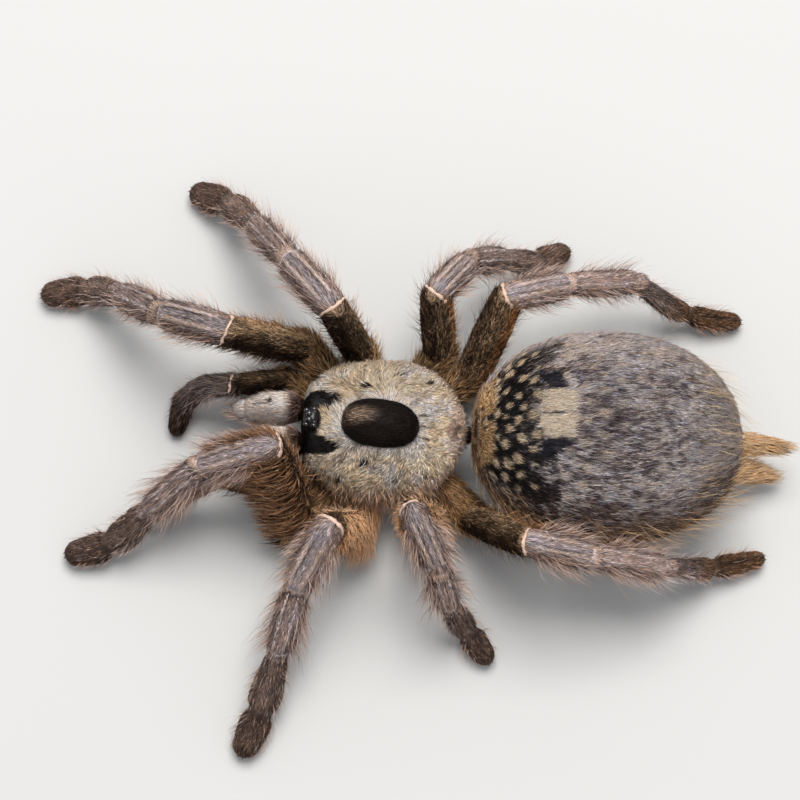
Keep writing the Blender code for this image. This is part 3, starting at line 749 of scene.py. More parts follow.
def shield_markings(points):
    """Straw-coloured shield with a black mark round the eyes and small black spots in pairs,
    lightened towards the rear as painted light and darkened along its furrows as painted shade.
    """
    x, y, z = points.T
    across = np.abs(y + 0.3)
    rough = noise(points, 0.9, 6) * 0.5 + noise(points, 0.4, 7) * 0.5
    rays = np.stack([np.arctan2(y, x - 0.1) * 6, np.hypot(x, y) * 0.35, z * 0], 1)
    streak = noise(rays, 0.4, 8)
    grey = noise(points, 1.7, 17) + streak * 0.5 + rough * 0.4
    horn_x, horn_y = HORN_SIZE[0] + 1.3, HORN_SIZE[1] + 1.3
    from_horn = np.hypot((x - HORN_PLACE[0]) / horn_x, (y - HORN_PLACE[1]) / horn_y)
    edge = np.abs(y) / np.maximum(SHIELD.half_width(x), 0.1)
    rim = np.maximum(smooth(0.86, 0.97, edge), smooth(8.2, 9.6, x)) * smooth(-4, 2, x)
    colour = layers(
        STRAW, (STRAW_SHADE, np.clip(0.25 + rough * 1.1 + streak * 0.8, 0, 1)),
        (RING_GREY, smooth(-0.2, 0.5, grey) * 0.8),
        (RING_GREY, smooth(1.05, 0.85, from_horn) * 0.7),
        # The rim's pink is made up to half as light again towards the rear: painted light on the
        # rear slope.
        (RIM_PINK * (1 + 0.5 * smooth(2, 8, x))[:, None], rim * 0.85),
        # Darker along the furrows: painted shade in the grooves.
        (STRAW_SHADE * 0.75, np.clip(SHIELD.furrows(x, y) / 0.34, 0, 1) * 0.6),
    )
    lobe = np.hypot((x + 7.0) / 2.5, (across - 2.75 - 0.1 * (x + 7)) / (1.15 - 0.14 * (x + 7)))
    around = np.hypot((x + 8.5) / 1.5, (y + 0.2) / 3.5)
    black = smooth(1.1, 0.9, lobe + rough * 0.2)
    black = np.maximum(black, smooth(1.1, 0.9, around + rough * 0.15))
    for place_x, place_y, size_x, size_y in SHIELD_SPOTS:
        spot = np.hypot((x - place_x) / size_x, (across - place_y) / size_y)
        black = np.maximum(black, smooth(1.3, 0.8, spot + rough * 0.3))
    behind = smooth(0.5, 0.2, np.abs(np.sin(np.arctan2(y + 0.4, x) * 13 + rough * 0.6)))
    behind = behind * smooth(1.1, 0.6, np.abs(y + 0.4) / np.maximum(x - 3, 0.1))
    black = np.maximum(black, behind * smooth(4.5, 4.9, x) * smooth(7.6, 5.6, x + rough) * 0.8)
    # Towards the rear the colour is lightened up to 1.8 times: painted light on the rear slope.
    colour = mix(colour * (1 + 0.8 * smooth(3.5, 8.0, x))[:, None], JET, black)
    length = 1 - 0.35 * smooth(-4.5, -8.5, x) - 0.3 * black
    return colour, length, 1 + 0.5 * black


def jaw_markings(part, u, v, points):
    """Cream-grey jaws with a thin dark line and a bald spot above, and a dark brown base."""
    along, up, side = part.place(u, v)
    top = up > 0
    line = bump(side, 0.12, 0.1) * top * smooth(0.25, 0.4, along) * smooth(0.9, 0.7, along)
    bald = smooth(1.2, 0.6, np.hypot((along - 0.3) / 0.07, (side + 0.1) / 0.35)) * top
    colour = layers(
        JAW_CREAM, (JET, line), (RUST, smooth(-0.1, -0.7, up)), (JET * 1.5, bald),
        (BROW_PLUM * 0.5, smooth(-10.8, -10.3, points[:, 0])),
        (FEMUR_BROWN * 0.5, smooth(-1.4, -2.6, points[:, 1])),
    )
    tone = 1.25 + 0.2 * noise(points, 0.8, 5)[:, None]
    return colour * tone, np.ones(len(u)), 1 - 0.8 * bald


def horn_markings(points):
    """Near-black velvet, with a soft bronzed sheen at the front that is a painted highlight."""
    x, y, _ = (points - HORN.centre).T
    streak = noise(points * np.array([0.12, 1.0, 1.0]), 0.12, 14)
    # A painted highlight: paler streaks at the front of the horn, where light falls on it.
    away = np.hypot((x + 2.6) / 2.4, (y - 0.55 - 0.1 * (x + 2.4)) / 1.15)
    painted_sheen = smooth(1.2, 0.0, away) * np.clip(0.75 + streak * 0.5, 0, 1)
    colour = mix(HORN_BLACK, BRONZE_PAINTED_SHEEN, painted_sheen * 0.9) * (1 + 0.3 * streak)[:, None]
    return colour, np.ones(len(points)), np.ones(len(points))


def markings(part, u, v, points):
    """Coat colour, length and density on any part."""
    whole = {"abdomen": abdomen_markings, "carapace": shield_markings, "horn": horn_markings}
    if part.kind in whole:
        return whole[part.kind](points)
    if part.kind in PLAIN_COLOURS:
        colour = PLAIN_COLOURS[part.kind] * (1 + 0.2 * noise(points, 0.8, 5)[:, None])
        return colour, np.ones(len(u)), np.ones(len(u))
    return (jaw_markings if part.kind == "chelicera" else leg_markings)(part, u, v, points)


def new_mesh(name, points, triangles, material, smooth_faces=True):
    """Mesh object from points in millimetres and triangles."""
    mesh = bpy.data.meshes.new(name)
    mesh.vertices.add(len(points))
    mesh.vertices.foreach_set("co", ((points + CENTRE) * MM).astype(np.float32).ravel())
    mesh.loops.add(triangles.size)
    mesh.loops.foreach_set("vertex_index", triangles.astype(np.int32).ravel())
    mesh.polygons.add(len(triangles))
    mesh.polygons.foreach_set("loop_start", np.arange(0, triangles.size, 3, dtype=np.int32))
    mesh.polygons.foreach_set("use_smooth", np.full(len(triangles), smooth_faces))
    mesh.materials.append(material)
    mesh.update(calc_edges=True)
    piece = bpy.data.objects.new(name, mesh)
    bpy.context.scene.collection.objects.link(piece)
    return piece


def closed_grid(surface, rings, sides, ends=(0.0, 1.0)):
    """Points and triangles of a surface between two poles, with rings closer near them."""
    share = (1 - np.cos(np.pi * np.arange(rings + 1) / rings)) / 2
    u = ends[0] + (ends[1] - ends[0]) * share
    around = np.arange(sides) / sides
    inner = surface(np.repeat(u[1:-1], sides), np.tile(around, rings - 1))
    poles = surface(u[[0, -1]], np.zeros(2))
    points = np.concatenate([poles[:1], inner, poles[1:]])
    ring = 1 + np.arange(sides)
    turn = np.roll(ring, -1)
    offset = (np.arange(rings - 2) * sides)[:, None]
    near, near_turn = (ring + offset).ravel(), (turn + offset).ravel()
    far, far_turn = near + sides, near_turn + sides
    last = 1 + (rings - 2) * sides + np.arange(sides)
    faces = np.concatenate([
        np.stack([np.zeros(sides, int), turn, ring], 1),
        np.stack([near, near_turn, far_turn], 1),
        np.stack([near, far_turn, far], 1),
        np.stack([last, np.roll(last, -1), np.full(sides, len(points) - 1)], 1),
    ])
    return points, faces


def join_shapes(shapes):
    """One set of points and triangles from several."""
    start = np.cumsum([0] + [len(points) for points, faces in shapes[:-1]])
    points = np.concatenate([points for points, faces in shapes])
    return points, np.concatenate([faces + first for (_, faces), first in zip(shapes, start)])


def paint(piece, name, colours):
    """Colour attribute on a piece's points."""
    attribute = piece.data.color_attributes.new(name, "FLOAT_COLOR", "POINT")
    rows = np.concatenate([colours, np.ones((len(colours), 1))], 1)
    attribute.data.foreach_set("color", rows.astype(np.float32).ravel())


def base_material(name, settings):
    """A principled material with its shader's settings, and its node tree and shader."""
    material = bpy.data.materials.new(name)
    material.use_nodes = True
    shader = material.node_tree.nodes["Principled BSDF"]
    for field, value in settings.items():
        shader.inputs[field].default_value = value
    return material, material.node_tree, shader


def add_node(tree, kind, settings, **sources):
    """A shader node with its inputs or fields set, and other nodes' outputs joined to it."""
    node = tree.nodes.new("ShaderNode" + kind)
    for name, value in settings.items():
        if name in node.inputs:
            node.inputs[name].default_value = value
        else:
            setattr(node, name, value)
    for name, source in sources.items():
        tree.links.new(source, node.inputs[name])
    return node


def coat_material(name, roughness, shine):
    """Hair whose colour is painted on its points."""
    material, tree, shader = base_material(
        name, {"Roughness": roughness, "Specular IOR Level": shine}
    )
    colour = add_node(tree, "VertexColor", {"layer_name": "Coat"})
    tree.links.new(colour.outputs["Color"], shader.inputs["Base Color"])
    return material


def fine_noise(tree, settings):
    """The value of fine noise over the piece's own place."""
    place = add_node(tree, "TexCoord", {})
    return add_node(tree, "TexNoise", settings, Vector=place.outputs["Object"]).outputs["Fac"]


def skin_material(name):
    """Skin with painted markings, mottled finely and pitted where hairs stand."""
    material, tree, shader = base_material(name, {"Roughness": 0.5, "Specular IOR Level": 0.12})
    colour = add_node(tree, "VertexColor", {"layer_name": "Markings"})
    fine = fine_noise(tree, {"Scale": 900.0, "Detail": 4.0})
    shade = add_node(tree, "MapRange", {"To Min": 0.6, "To Max": 1.4}, Value=fine)
    blend = add_node(
        tree, "Mix", {"data_type": "RGBA", "blend_type": "MULTIPLY", "Factor": 1.0},
        A=colour.outputs["Color"], B=shade.outputs["Result"],
    )
    pits = add_node(tree, "Bump", {"Distance": 0.00012, "Strength": 0.8}, Height=fine)
    tree.links.new(blend.outputs["Result"], shader.inputs["Base Color"])
    tree.links.new(pits.outputs["Normal"], shader.inputs["Normal"])
    return material


def gloss_material(name, colour, roughness, coat=0.0):
    """Plain glossy material for eyes, fangs and claws, with a faint mottle."""
    material, tree, shader = base_material(
        name, {"Roughness": roughness, "Coat Weight": coat, "Coat Roughness": 0.05}
    )
    shades = {"data_type": "RGBA", "A": (*(colour * 0.7), 1.0), "B": (*(colour * 1.4), 1.0)}
    mottle = add_node(tree, "Mix", shades, Factor=fine_noise(tree, {"Scale": 1500.0}))
    tree.links.new(mottle.outputs["Result"], shader.inputs["Base Color"])
    return material


def plain_material(name, colour, roughness, shine=0.5):
    """One colour all over."""
    return base_material(name, {
        "Roughness": roughness, "Base Color": (*colour, 1.0), "Specular IOR Level": shine,
    })[0]


# Camera, lights and floor.
CAMERA_AZIMUTH = 2
CAMERA_ELEVATION = 76
CAMERA_DISTANCE = 400.0
VIEW_WIDTH = 94.88
VIEW_OFFSET = (2.49, 3.32)


def add_object(name, data, side, up, way, place):
    """Object with its own X, Y and Z directions and its place in metres, put in the scene."""
    thing = bpy.data.objects.new(name, data)
    rows = [[side[i], up[i], way[i], place[i]] for i in range(3)] + [[0, 0, 0, 1]]
    thing.matrix_world = Matrix(rows)
    bpy.context.scene.collection.objects.link(thing)
    return thing


def aim_camera():
    """Camera above the spider, looking down at it a little from its left side."""
    turn, rise = radians(CAMERA_AZIMUTH), radians(CAMERA_ELEVATION)
    back = np.array([sin(turn) * cos(rise), -cos(turn) * cos(rise), sin(rise)])
    right = np.array([cos(turn), sin(turn), 0.0])
    up = np.cross(back, right)
    target = np.array([0.0, 0.0, 9.0]) + right * VIEW_OFFSET[0] + up * VIEW_OFFSET[1]
    data = bpy.data.cameras.new("camera")
    data.sensor_width = 36.0
    data.lens = 36.0 * CAMERA_DISTANCE / VIEW_WIDTH
    data.clip_start, data.clip_end = 0.01, 20.0
    place = (target + back * CAMERA_DISTANCE + CENTRE) * MM
    bpy.context.scene.camera = add_object("camera", data, right, up, back, place)


def light_scene():
    """One square soft light beyond the spider and to its head side, and a pale sky."""
    key = bpy.data.lights.new("key", "AREA")
    key.size, key.energy, key.color = 0.5, 8.2, (1.0, 0.985, 0.96)
    place = np.array([0.05, 0.3, 0.77])
    way = unit(place - np.array([0.0, 0.0, 0.008]))
    side = unit(np.cross([0, 1, 0.2], way))
    add_object("key", key, side, np.cross(way, side), way, place)
    world = bpy.data.worlds.new("sky")
    world.use_nodes = True
    sky = world.node_tree.nodes["Background"]
    sky.inputs["Color"].default_value = (0.93, 0.96, 1.0, 1.0)
    sky.inputs["Strength"].default_value = 0.66
    bpy.context.scene.world = world
    bpy.context.scene.view_settings.view_transform = "Standard"


def make_floor():
    """Plain pale floor under the feet."""
    corners = np.array([[-1, -1, 0], [1, -1, 0], [1, 1, 0], [-1, 1, 0]]) * 3000.0 - CENTRE
    floor = new_mesh(
        "floor", corners, np.array([[0, 1, 2], [0, 2, 3]]),
        plain_material("floor paint", (0.525, 0.518, 0.508), 0.7),
    )


def make_skin():
    """One skin over all the flesh: every limb and the trunk as closed shapes, merged."""
    points, faces = join_shapes([
        closed_grid(part.surface, *((60, 72) if part is ABDOMEN else (34, 30))) for part in FLESH
    ])
    shell = new_mesh("skin_shapes", points, faces, skin_material("skin"))
    merge = shell.modifiers.new("merge", "REMESH")
    merge.mode = "VOXEL"
    merge.voxel_size = SKIN_GRAIN * MM
    relax = shell.modifiers.new("relax", "SMOOTH")
    relax.factor = 0.5
    relax.iterations = 2
    graph = bpy.context.evaluated_depsgraph_get()
    mesh = bpy.data.meshes.new_from_object(shell.evaluated_get(graph))
    bpy.data.objects.remove(shell, do_unlink=True)
    mesh.name = "skin"
    mesh.shade_smooth()
    skin = bpy.data.objects.new("skin", mesh)
    bpy.context.scene.collection.objects.link(skin)
    flat = np.zeros(len(mesh.vertices) * 3, np.float32)
    mesh.vertices.foreach_get("co", flat)
    points = flat.reshape(-1, 3).astype(float) / MM - CENTRE
    paint(skin, "Markings", skin_colours(points))
    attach(skin, "root")
    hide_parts(*[part.name for part in FLESH if part.kind != "core"], "pedicel")
    return skin


def skin_colours(points):
    """The coat's colours at each point of the skin, darkened."""
    best = np.full(len(points), 9.0)
    colours = np.zeros((len(points), 3))
    for part in FLESH:
        near = np.all((points > part.low - 0.6) & (points < part.high + 0.6), axis=1).nonzero()[0]
        u, v, height = part.locate(points[near])
        chosen = np.abs(height) < best[near]
        near, u, v, height = near[chosen], u[chosen], v[chosen], height[chosen]
        best[near] = np.abs(height)
        colours[near] = markings(part, u, v, points[near])[0] * 0.4
    return np.clip(colours, 0.004, 0.9)


# Coat. Each hair is a closed three-sided spike, and a long one bends in several sections.


def sample(part, count, rng, weigh, ends):
    """u and v of places on a part, spread evenly by area times the density from weigh."""
    rows, columns = 120, 72
    u = ends[0] + (ends[1] - ends[0]) * (np.repeat(np.arange(rows), columns) + 0.5) / rows
    v = (np.tile(np.arange(columns), rows) + 0.5) / columns
    step = 1e-3
    along = part.surface(np.clip(u + step, 0, 1), v) - part.surface(np.clip(u - step, 0, 1), v)
    around = part.surface(u, v + step) - part.surface(u, v - step)
    area = np.linalg.norm(np.cross(along, around), axis=1)
    density = weigh(u, v, part.surface(u, v))
    total = np.cumsum(area * np.maximum(density, 0))
    draws = (np.arange(count) + rng.random(count)) / count * total[-1]
    cell = np.minimum(np.searchsorted(total, draws), rows * columns - 1)
    u = u[cell] + (rng.random(count) - 0.5) * (ends[1] - ends[0]) / rows
    v = v[cell] + (rng.random(count) - 0.5) / columns
    return np.clip(u, 1e-4, 1 - 1e-4), v % 1


def surface_frame(part, u, v):
    """Point, outward direction and lie of the coat at places on a part."""
    step = 2e-3
    point = part.surface(u, v)
    along = part.surface(np.minimum(u + step, 1), v) - part.surface(np.maximum(u - step, 0), v)
    around = part.surface(u, v + step) - part.surface(u, v - step)
    outward = unit(np.cross(around, along))
    lie = unit(along - outward * (along * outward).sum(1, keepdims=True))
    return point, outward, lie


def hidden(part, points, margin):
    """True where a place on a part lies inside another part."""
    buried = np.zeros(len(points), bool)
    for other in ALL_PARTS:
        if other is part or np.any(other.low > points.max(0)) or np.any(other.high < points.min(0)):
            continue
        near = np.all((points > other.low) & (points < other.high), axis=1) & ~buried
        near = near.nonzero()[0]
        if len(near):
            buried[near] = other.locate(points[near])[2] < -margin
    return buried


def spikes(roots, ways, bends, lengths, widths, sections, rng):
    """Closed three-sided hairs: root + way·s·L + bend·s²·L, with half-width w/2·(1 - s)^0.6."""
    count = len(roots)
    side = unit(np.cross(ways, rng.normal(size=(count, 3))))
    other = np.cross(ways, side)
    stages = []
    for index in range(sections):
        share = index / sections
        centre = roots + (ways * share + bends * share**2) * lengths[:, None]
        half = (widths / 2 * (1 - share) ** 0.6)[:, None]
        for corner in range(3):
            turn = 2 * pi * corner / 3
            stages.append(centre + (side * cos(turn) + other * sin(turn)) * half)
    stages.append(roots + (ways + bends) * lengths[:, None])
    points = np.stack(stages, 1)
    points[:, :, 2] = np.maximum(points[:, :, 2], 0.02)
    faces = [(0, 2, 1)]
    for index in range(sections - 1):
        low, high = index * 3, index * 3 + 3
        for corner in range(3):
            turn = (corner + 1) % 3
            faces.append((low + corner, low + turn, high + turn))
            faces.append((low + corner, high + turn, high + corner))
    low, tip = sections * 3 - 3, sections * 3
    faces += [(low + corner, low + (corner + 1) % 3, tip) for corner in range(3)]
    size = sections * 3 + 1
    faces = (np.array(faces)[None] + (np.arange(count) * size)[:, None, None]).reshape(-1, 3)
    return points.reshape(-1, 3), faces


BAKE_CORNERS = np.array([(-1.0, -1.0), (1.0, -1.0), (0.0, -0.35)]) * 0.0015
BAKE_TIP = np.array([0.0, 1.0]) * 0.0015


def bake_places(u, v, strip, strips, sections):
    """Each hair's small patch on the unwrapped strip of its part, at its root's u and v."""
    centre = np.stack([0.01 + 0.98 * u, (strip + 0.03 + 0.94 * v) / strips], 1)
    rows = []
    for index in range(sections):
        share = index / sections
        for corner in BAKE_CORNERS:
            rows.append(centre + corner * (1 - share) + BAKE_TIP * share)
    rows.append(centre + BAKE_TIP)
    return np.stack(rows, 1).reshape(-1, 2)


# A bed is a patch of coat on a part: how many hairs, their length and width, the lift of their
# roots in degrees, and how many sections they bend in. The ends bound it along the part, and
# weigh names where it grows. The tips take the tint by its share. Droop bends hairs down, sway
# turns them singly and swirl in whole patches, tuft draws them together. Gain brightens a hair
# from root to tip: the pale tips are the hairs' own colour, and the dark roots are partly
# painted shade deep in the coat. Spread varies hairs, and dark is the share of dark ones. Comb
# is a way that hairs are swept, with its strength as a fourth number. A base colour stands in
# for the markings, and root is how deep the hairs start.
Bed = namedtuple(
    "Bed",
    "part count length width lift sections ends weigh tint droop sway gain spread dark share"
    " comb tuft base root swirl",
    defaults=(1, (0.0, 1.0), None, None, 0.0, 0.2, (0.5, 2.2), 0.4, 0.22, 1.0,
              None, 0.15, None, 0.05, 0.0),
)


def grow(bed, strip, strips, rng):
    """Points, triangles, colours and bake places of one bed of hairs."""
    part = bed.part

    def weigh(u, v, points):
        density = markings(part, u, v, points)[2]
        at = At(part, points, *points.T[:2], *part.place(u, v))
        return density * WHERE[bed.weigh](at)

    u, v = sample(part, bed.count, rng, weigh, bed.ends)
    point, outward, lie = surface_frame(part, u, v)
    kept = ~hidden(part, point, 0.1)
    u, v, point, outward, lie = (values[kept] for values in (u, v, point, outward, lie))
    count = len(u)
    colour, reach, _ = markings(part, u, v, point)
    clump = [noise(point, 1.1, 20 + axis) for axis in range(3)]
    tuft = np.stack([noise(point, 0.55, 30 + axis) for axis in range(3)], 1)
    sway = clump[0] * bed.sway * 1.4 + rng.normal(size=count) * bed.sway
    sway += (noise(point, 2.6, 26) + 0.5 * noise(point, 1.2, 27)) * bed.swirl
    lift = np.radians(bed.lift) * (1 + clump[1] * 0.35 + rng.normal(size=count) * 0.25)
    lift = np.clip(lift, 0.06, 1.5)
    sideways = np.cross(outward, lie)
    ways = lie * (np.cos(lift) * np.cos(sway))[:, None]
    ways += sideways * (np.cos(lift) * np.sin(sway))[:, None] + outward * np.sin(lift)[:, None]
    if bed.comb is not None:
        ways = ways * (1 - bed.comb[3]) + unit(np.array(bed.comb[:3])) * bed.comb[3]
        ways += rng.normal(size=(count, 3)) * bed.sway * 0.4
        ways += outward * np.maximum(0.1 - (ways * outward).sum(1), 0)[:, None]
    ways = unit(ways + tuft * bed.tuft)
    lengths = bed.length * reach * (1 + rng.normal(size=count) * bed.spread * 0.5)
    lengths = np.maximum(lengths, bed.length * 0.3)
    widths = bed.width * (0.75 + 0.5 * rng.random(count))
    bends = (lie - outward * 0.8) * (np.sin(lift) * 0.35)[:, None]
    bends[:, 2] -= bed.droop
    points, faces = spikes(
        point - outward * bed.root, ways, bends, lengths, widths, bed.sections, rng
    )
    if part.kind in ("abdomen", "carapace"):
        reached = ways * (lengths * (0.1 + 0.9 * rng.random(count)))[:, None]
        colour = markings(part, u, v, point + reached)[0]
    if bed.base is not None:
        colour = np.asarray(bed.base) * (1 + 0.2 * clump[1][:, None])
    colours = hair_colours(bed, colour, clump, rng)
    return points, faces, colours, bake_places(u, v, strip, strips, bed.sections)


def hair_colours(bed, colour, clump, rng):
    """Colours of each hair's points: shade · gain, from its own colour to the tint at the tip.

    Dark colours take no tint and no gain above 1, so that black marks stay black.
    """
    count = len(colour)
    light = colour @ np.array([0.3, 0.6, 0.1])
    lively = smooth(0.005, 0.05, light)
    tips = mix(colour, colour if bed.tint is None else np.asarray(bed.tint), bed.share * lively)
    lively = lively[:, None]
    shade = np.exp(rng.normal(size=count) * bed.spread + clump[2] * 0.2)
    pale = smooth(0.15, 0.45, light)
    shade = np.where(rng.random(count) < bed.dark * (1 - 0.6 * pale), shade * 0.3, shade)
    warm = rng.normal(size=count) * 0.07 + clump[0] * 0.05
    shade = np.stack([shade * (1 + warm), shade, shade * (1 - 1.4 * warm)], 1)
    rows = []
    for index in range(bed.sections + 1):
        share = index / bed.sections
        # Gain: darker at the root, partly as painted shade deep in the coat, and brighter to the
        # tip.
        gain = bed.gain[0] + (bed.gain[1] - bed.gain[0]) * share
        gain = min(gain, 1.0) + (gain - min(gain, 1.0)) * lively
        rows += [(colour * (1 - share) + tips * share) * shade * gain] * (3 if share < 1 else 1)
    colours = np.maximum(np.stack(rows, 1).reshape(-1, 3), 0.003)
    return colours * np.minimum(0.85 / colours.max(1, keepdims=True), 1)


def make_coat(name, beds, material, seed):
    """One coat piece from several beds, each part on a strip of its own of the bake map."""
    rng = np.random.default_rng(seed)
    parts = list(dict.fromkeys(bed.part.name for bed in beds))
    grown = [grow(bed, parts.index(bed.part.name), len(parts), rng) for bed in beds]
    points, faces = join_shapes([(item[0], item[1]) for item in grown])
    piece = new_mesh(name, points, faces, material)
    paint(piece, "Coat", np.concatenate([item[2] for item in grown]))
    layer = piece.data.uv_layers.new(name="OFBake")
    places = np.concatenate([item[3] for item in grown])[faces.ravel()]
    layer.uv.foreach_set("vector", places.astype(np.float32).ravel())
    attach(piece, "root")
    return piece


def pale_lines(at):
    """Two lines along the top, one low on the tail side, and the far edge of the segment."""
    away = 90 - np.degrees(np.arcsin(np.clip(at.up, -1, 1)))
    tailward = rear_face(at.part, at.points) > 0
    lines = bump(away, 25, 3.0) + bump(away, 62, 4.0) * tailward * smooth(0.8, 0.5, at.along)
    edge = bump(at.along - 0.97 + 0.07 * at.side**2, 0, 0.018) * smooth(0.0, 0.4, at.up)
    edge = edge * (4.0 if at.part.kind == "patella" else 1.0)
    reach = smooth(0.03, 0.1, at.along) * smooth(0.96, 0.88, at.along)
    return (lines * reach + edge) * smooth(-0.1, 0.1, at.part.past_rim(at.points))


# Places on a part: x and y in millimetres, the share along it, and how far each place faces up
# and sideways. A rule in WHERE gives how densely hairs stand there.
At = namedtuple("At", "part points x y along up side")
WHERE = {
    None: lambda at: 1,
    # denser above than below
    "upper": lambda at: 0.7 + 0.4 * at.up,
    # at both sides, and a few along the top
    "fringe": lambda at: (
        smooth(0.05, 0.2, at.along) * smooth(1.05, 0.9, at.along)
        * (0.06 + smooth(0.5, 0.9, np.abs(at.side)))
    ),
    # beneath and low on the sides
    "under": lambda at: smooth(0.25, -0.4, at.up),
    # everywhere but beneath
    "over": lambda at: smooth(-0.7, -0.2, at.up),
    # on the side towards the jaws
    "inner": lambda at: smooth(-0.2, -0.9, at.side) * smooth(-0.5, -0.2, at.up),
    "pale lines": pale_lines,
    # the abdomen's upper and lower halves, its flanks, mostly the left one, and its tail end
    "top half": lambda at: at.up > 0.05,
    "low half": lambda at: at.up <= 0.05,
    "flanks": lambda at: (
        smooth(0.62, 0.3, at.up) * smooth(-0.8, -0.4, at.up)
        * np.where(at.side < 0, 1.0, 0.04) * smooth(0.97, 0.85, at.along)
    ),
    "tail": lambda at: at.up > -0.2,
    # the shield's front edge, left edge, rear tip and rim, and the left side below it
    "brow": lambda at: smooth(-9.3, -9.45, at.x) * smooth(7.0, 6.0, np.abs(at.y)),
    "left edge": lambda at: (at.y < -5.0) * smooth(-7.0, -5.0, at.x) * smooth(7.5, 5.5, at.x),
    "rear tip": lambda at: np.exp(-(((at.x - 8.8) / 1.2) ** 2) - (at.y / 1.8) ** 2),
    "rim": lambda at: smooth(-7.0, -4.0, at.x),
    "left side": lambda at: (at.y < -2.5) * smooth(-4.5, -3.0, at.x) * smooth(6.5, 5.0, at.x),
}


LEG_BEDS = {
    # short hairs, flat long hairs, their lengths, loose hairs, their length
    "coxa": (1500, 800, 1.0, 1.7, 160, 2.0),
    "femur": (4050, 1900, 0.75, 1.2, 300, 2.3),
    "patella": (3000, 1500, 0.6, 1.0, 400, 2.5),
    "tibia": (2900, 1500, 0.6, 1.05, 400, 2.5),
    "foot": (5000, 1250, 0.5, 0.75, 320, 1.6),
    "palp": (3400, 1600, 0.75, 1.3, 220, 1.8),
    "palp_foot": (1800, 500, 0.6, 1.0, 60, 1.3),
}
# lengths that the counts of hairs hold for, and the tips of the flat long hairs
SEGMENT_LENGTHS = {"coxa": 8.0, "femur": 13.5, "patella": 8.5, "tibia": 8.5}
FLAT_TINTS = {"coxa": STRAW_TIP, "femur": GOLD * 1.1, "foot": GOLD}


def limb_beds(parts):
    """Short pile, flat long hairs and loose hairs on each segment of a leg or feeler."""
    beds = []
    for part in parts:
        kind, fluffy, striped = part.kind, part.kind == "coxa", part.kind in ("patella", "tibia")
        pile, flats, length, flat_length, longs, long_length = LEG_BEDS[kind]
        scale = part.total / SEGMENT_LENGTHS.get(kind, 12.5)
        if kind.startswith("palp"):
            scale = 1.0
        if part.name.startswith("palp"):
            scale *= 0.75
        dull = kind in ("femur", "foot", "palp", "palp_foot")
        thin, lift, droop = (0.11, 34, 0.15) if fluffy else (0.095, 14, 0.0)
        beds.append(Bed(
            part, int(pile * scale), length, thin, 34 if fluffy else 20, weigh="upper",
            sway=0.3 if fluffy else 0.1, gain=(0.4, 1.4) if dull else (0.35, 1.8), dark=0.45,
        ))
        beds.append(Bed(
            part, int(flats * scale), flat_length, thin, lift, weigh="upper",
            sway=0.35 if fluffy else 0.08, gain=(0.7, 2.3) if dull else (0.9, 3.4),
            tint=FLAT_TINTS.get(kind, PINK_TIP), share=0.12 if kind == "femur" else 0.2,
            dark=0.35, droop=droop, spread=0.45,
        ))
        if striped:
            beds.append(Bed(
                part, int((1100 if kind == "patella" else 300) * scale), 0.6, 0.09, 12,
                weigh="pale lines", base=LINE_CREAM, gain=(1.5, 2.2), spread=0.2, dark=0.04,
                sway=0.05, tuft=0.04, root=0.0,
            ))
            if "left" in part.name:
                longs, long_length = longs * 1.5, long_length * 1.15
        beds.append(Bed(
            part, int(longs * scale * 0.8), long_length, 0.05, 44, sections=2, ends=(0.06, 0.94),
            weigh="fringe", base=PATELLA_SIDE if striped else None, share=0.9, gain=(0.9, 2.4),
            tint=GOLD if kind in ("coxa", "femur") else PINK_TIP, sway=0.35, droop=-0.05,
            dark=0.1, spread=0.7, tuft=0.3,
        ))
        beds.append(Bed(
            part, int(longs * scale * 0.5), long_length * 0.8, 0.055, 46, sections=2,
            weigh="under", tint=FAN_TIP, share=0.6, gain=(0.6, 1.8), sway=0.4,
        ))
    return beds


def sweep_beds(side, number, parts):
    """Extra long hairs: a fan under each front femur and fluff round the hips of the left side."""
    coxa, femur = parts[:2]
    left = side == "left"
    if number == 1:
        beds = [Bed(
            femur, 2700 if left else 900, 2.7, 0.12, 30, sections=2, ends=(0.03, 0.93),
            weigh=None if left else "under", tint=FAN_TIP, share=0.7, gain=(0.3, 1.2),
            sway=0.16, spread=0.45, base=FAN_BROWN, dark=0.35,
            comb=(-0.95, -0.3, -0.15, 0.85) if left else (-0.2, 0.1, -0.95, 0.7),
        )]
        if left:
            beds.append(Bed(
                parts[2], 700, 1.5, 0.08, 30, sections=2, ends=(0.0, 0.7), weigh="inner",
                tint=FAN_TIP, share=0.5, gain=(0.4, 1.6), comb=(-0.4, 0.7, 0.1, 0.4),
                base=FAN_BROWN * 0.7, sway=0.4, spread=0.5,
            ))
        return beds
    if not left or number == 4:
        return []
    fluff = Bed(
        femur, 1100, 1.8, 0.1, 42, sections=2, ends=(0.0, 0.85), weigh="over", tint=PINK_TIP,
        share=0.5, gain=(0.8, 2.4), sway=0.35, base=FUZZ_ORANGE, dark=0.15,
        comb=(0.15, -0.75, -0.35, 0.55) if number == 2 else (-0.55, -0.75, -0.3, 0.6),
    )
    return [fluff, fluff._replace(
        part=coxa, length=2.9, width=0.09, ends=(0.0, 1.0), share=0.6, sway=0.4
    )]


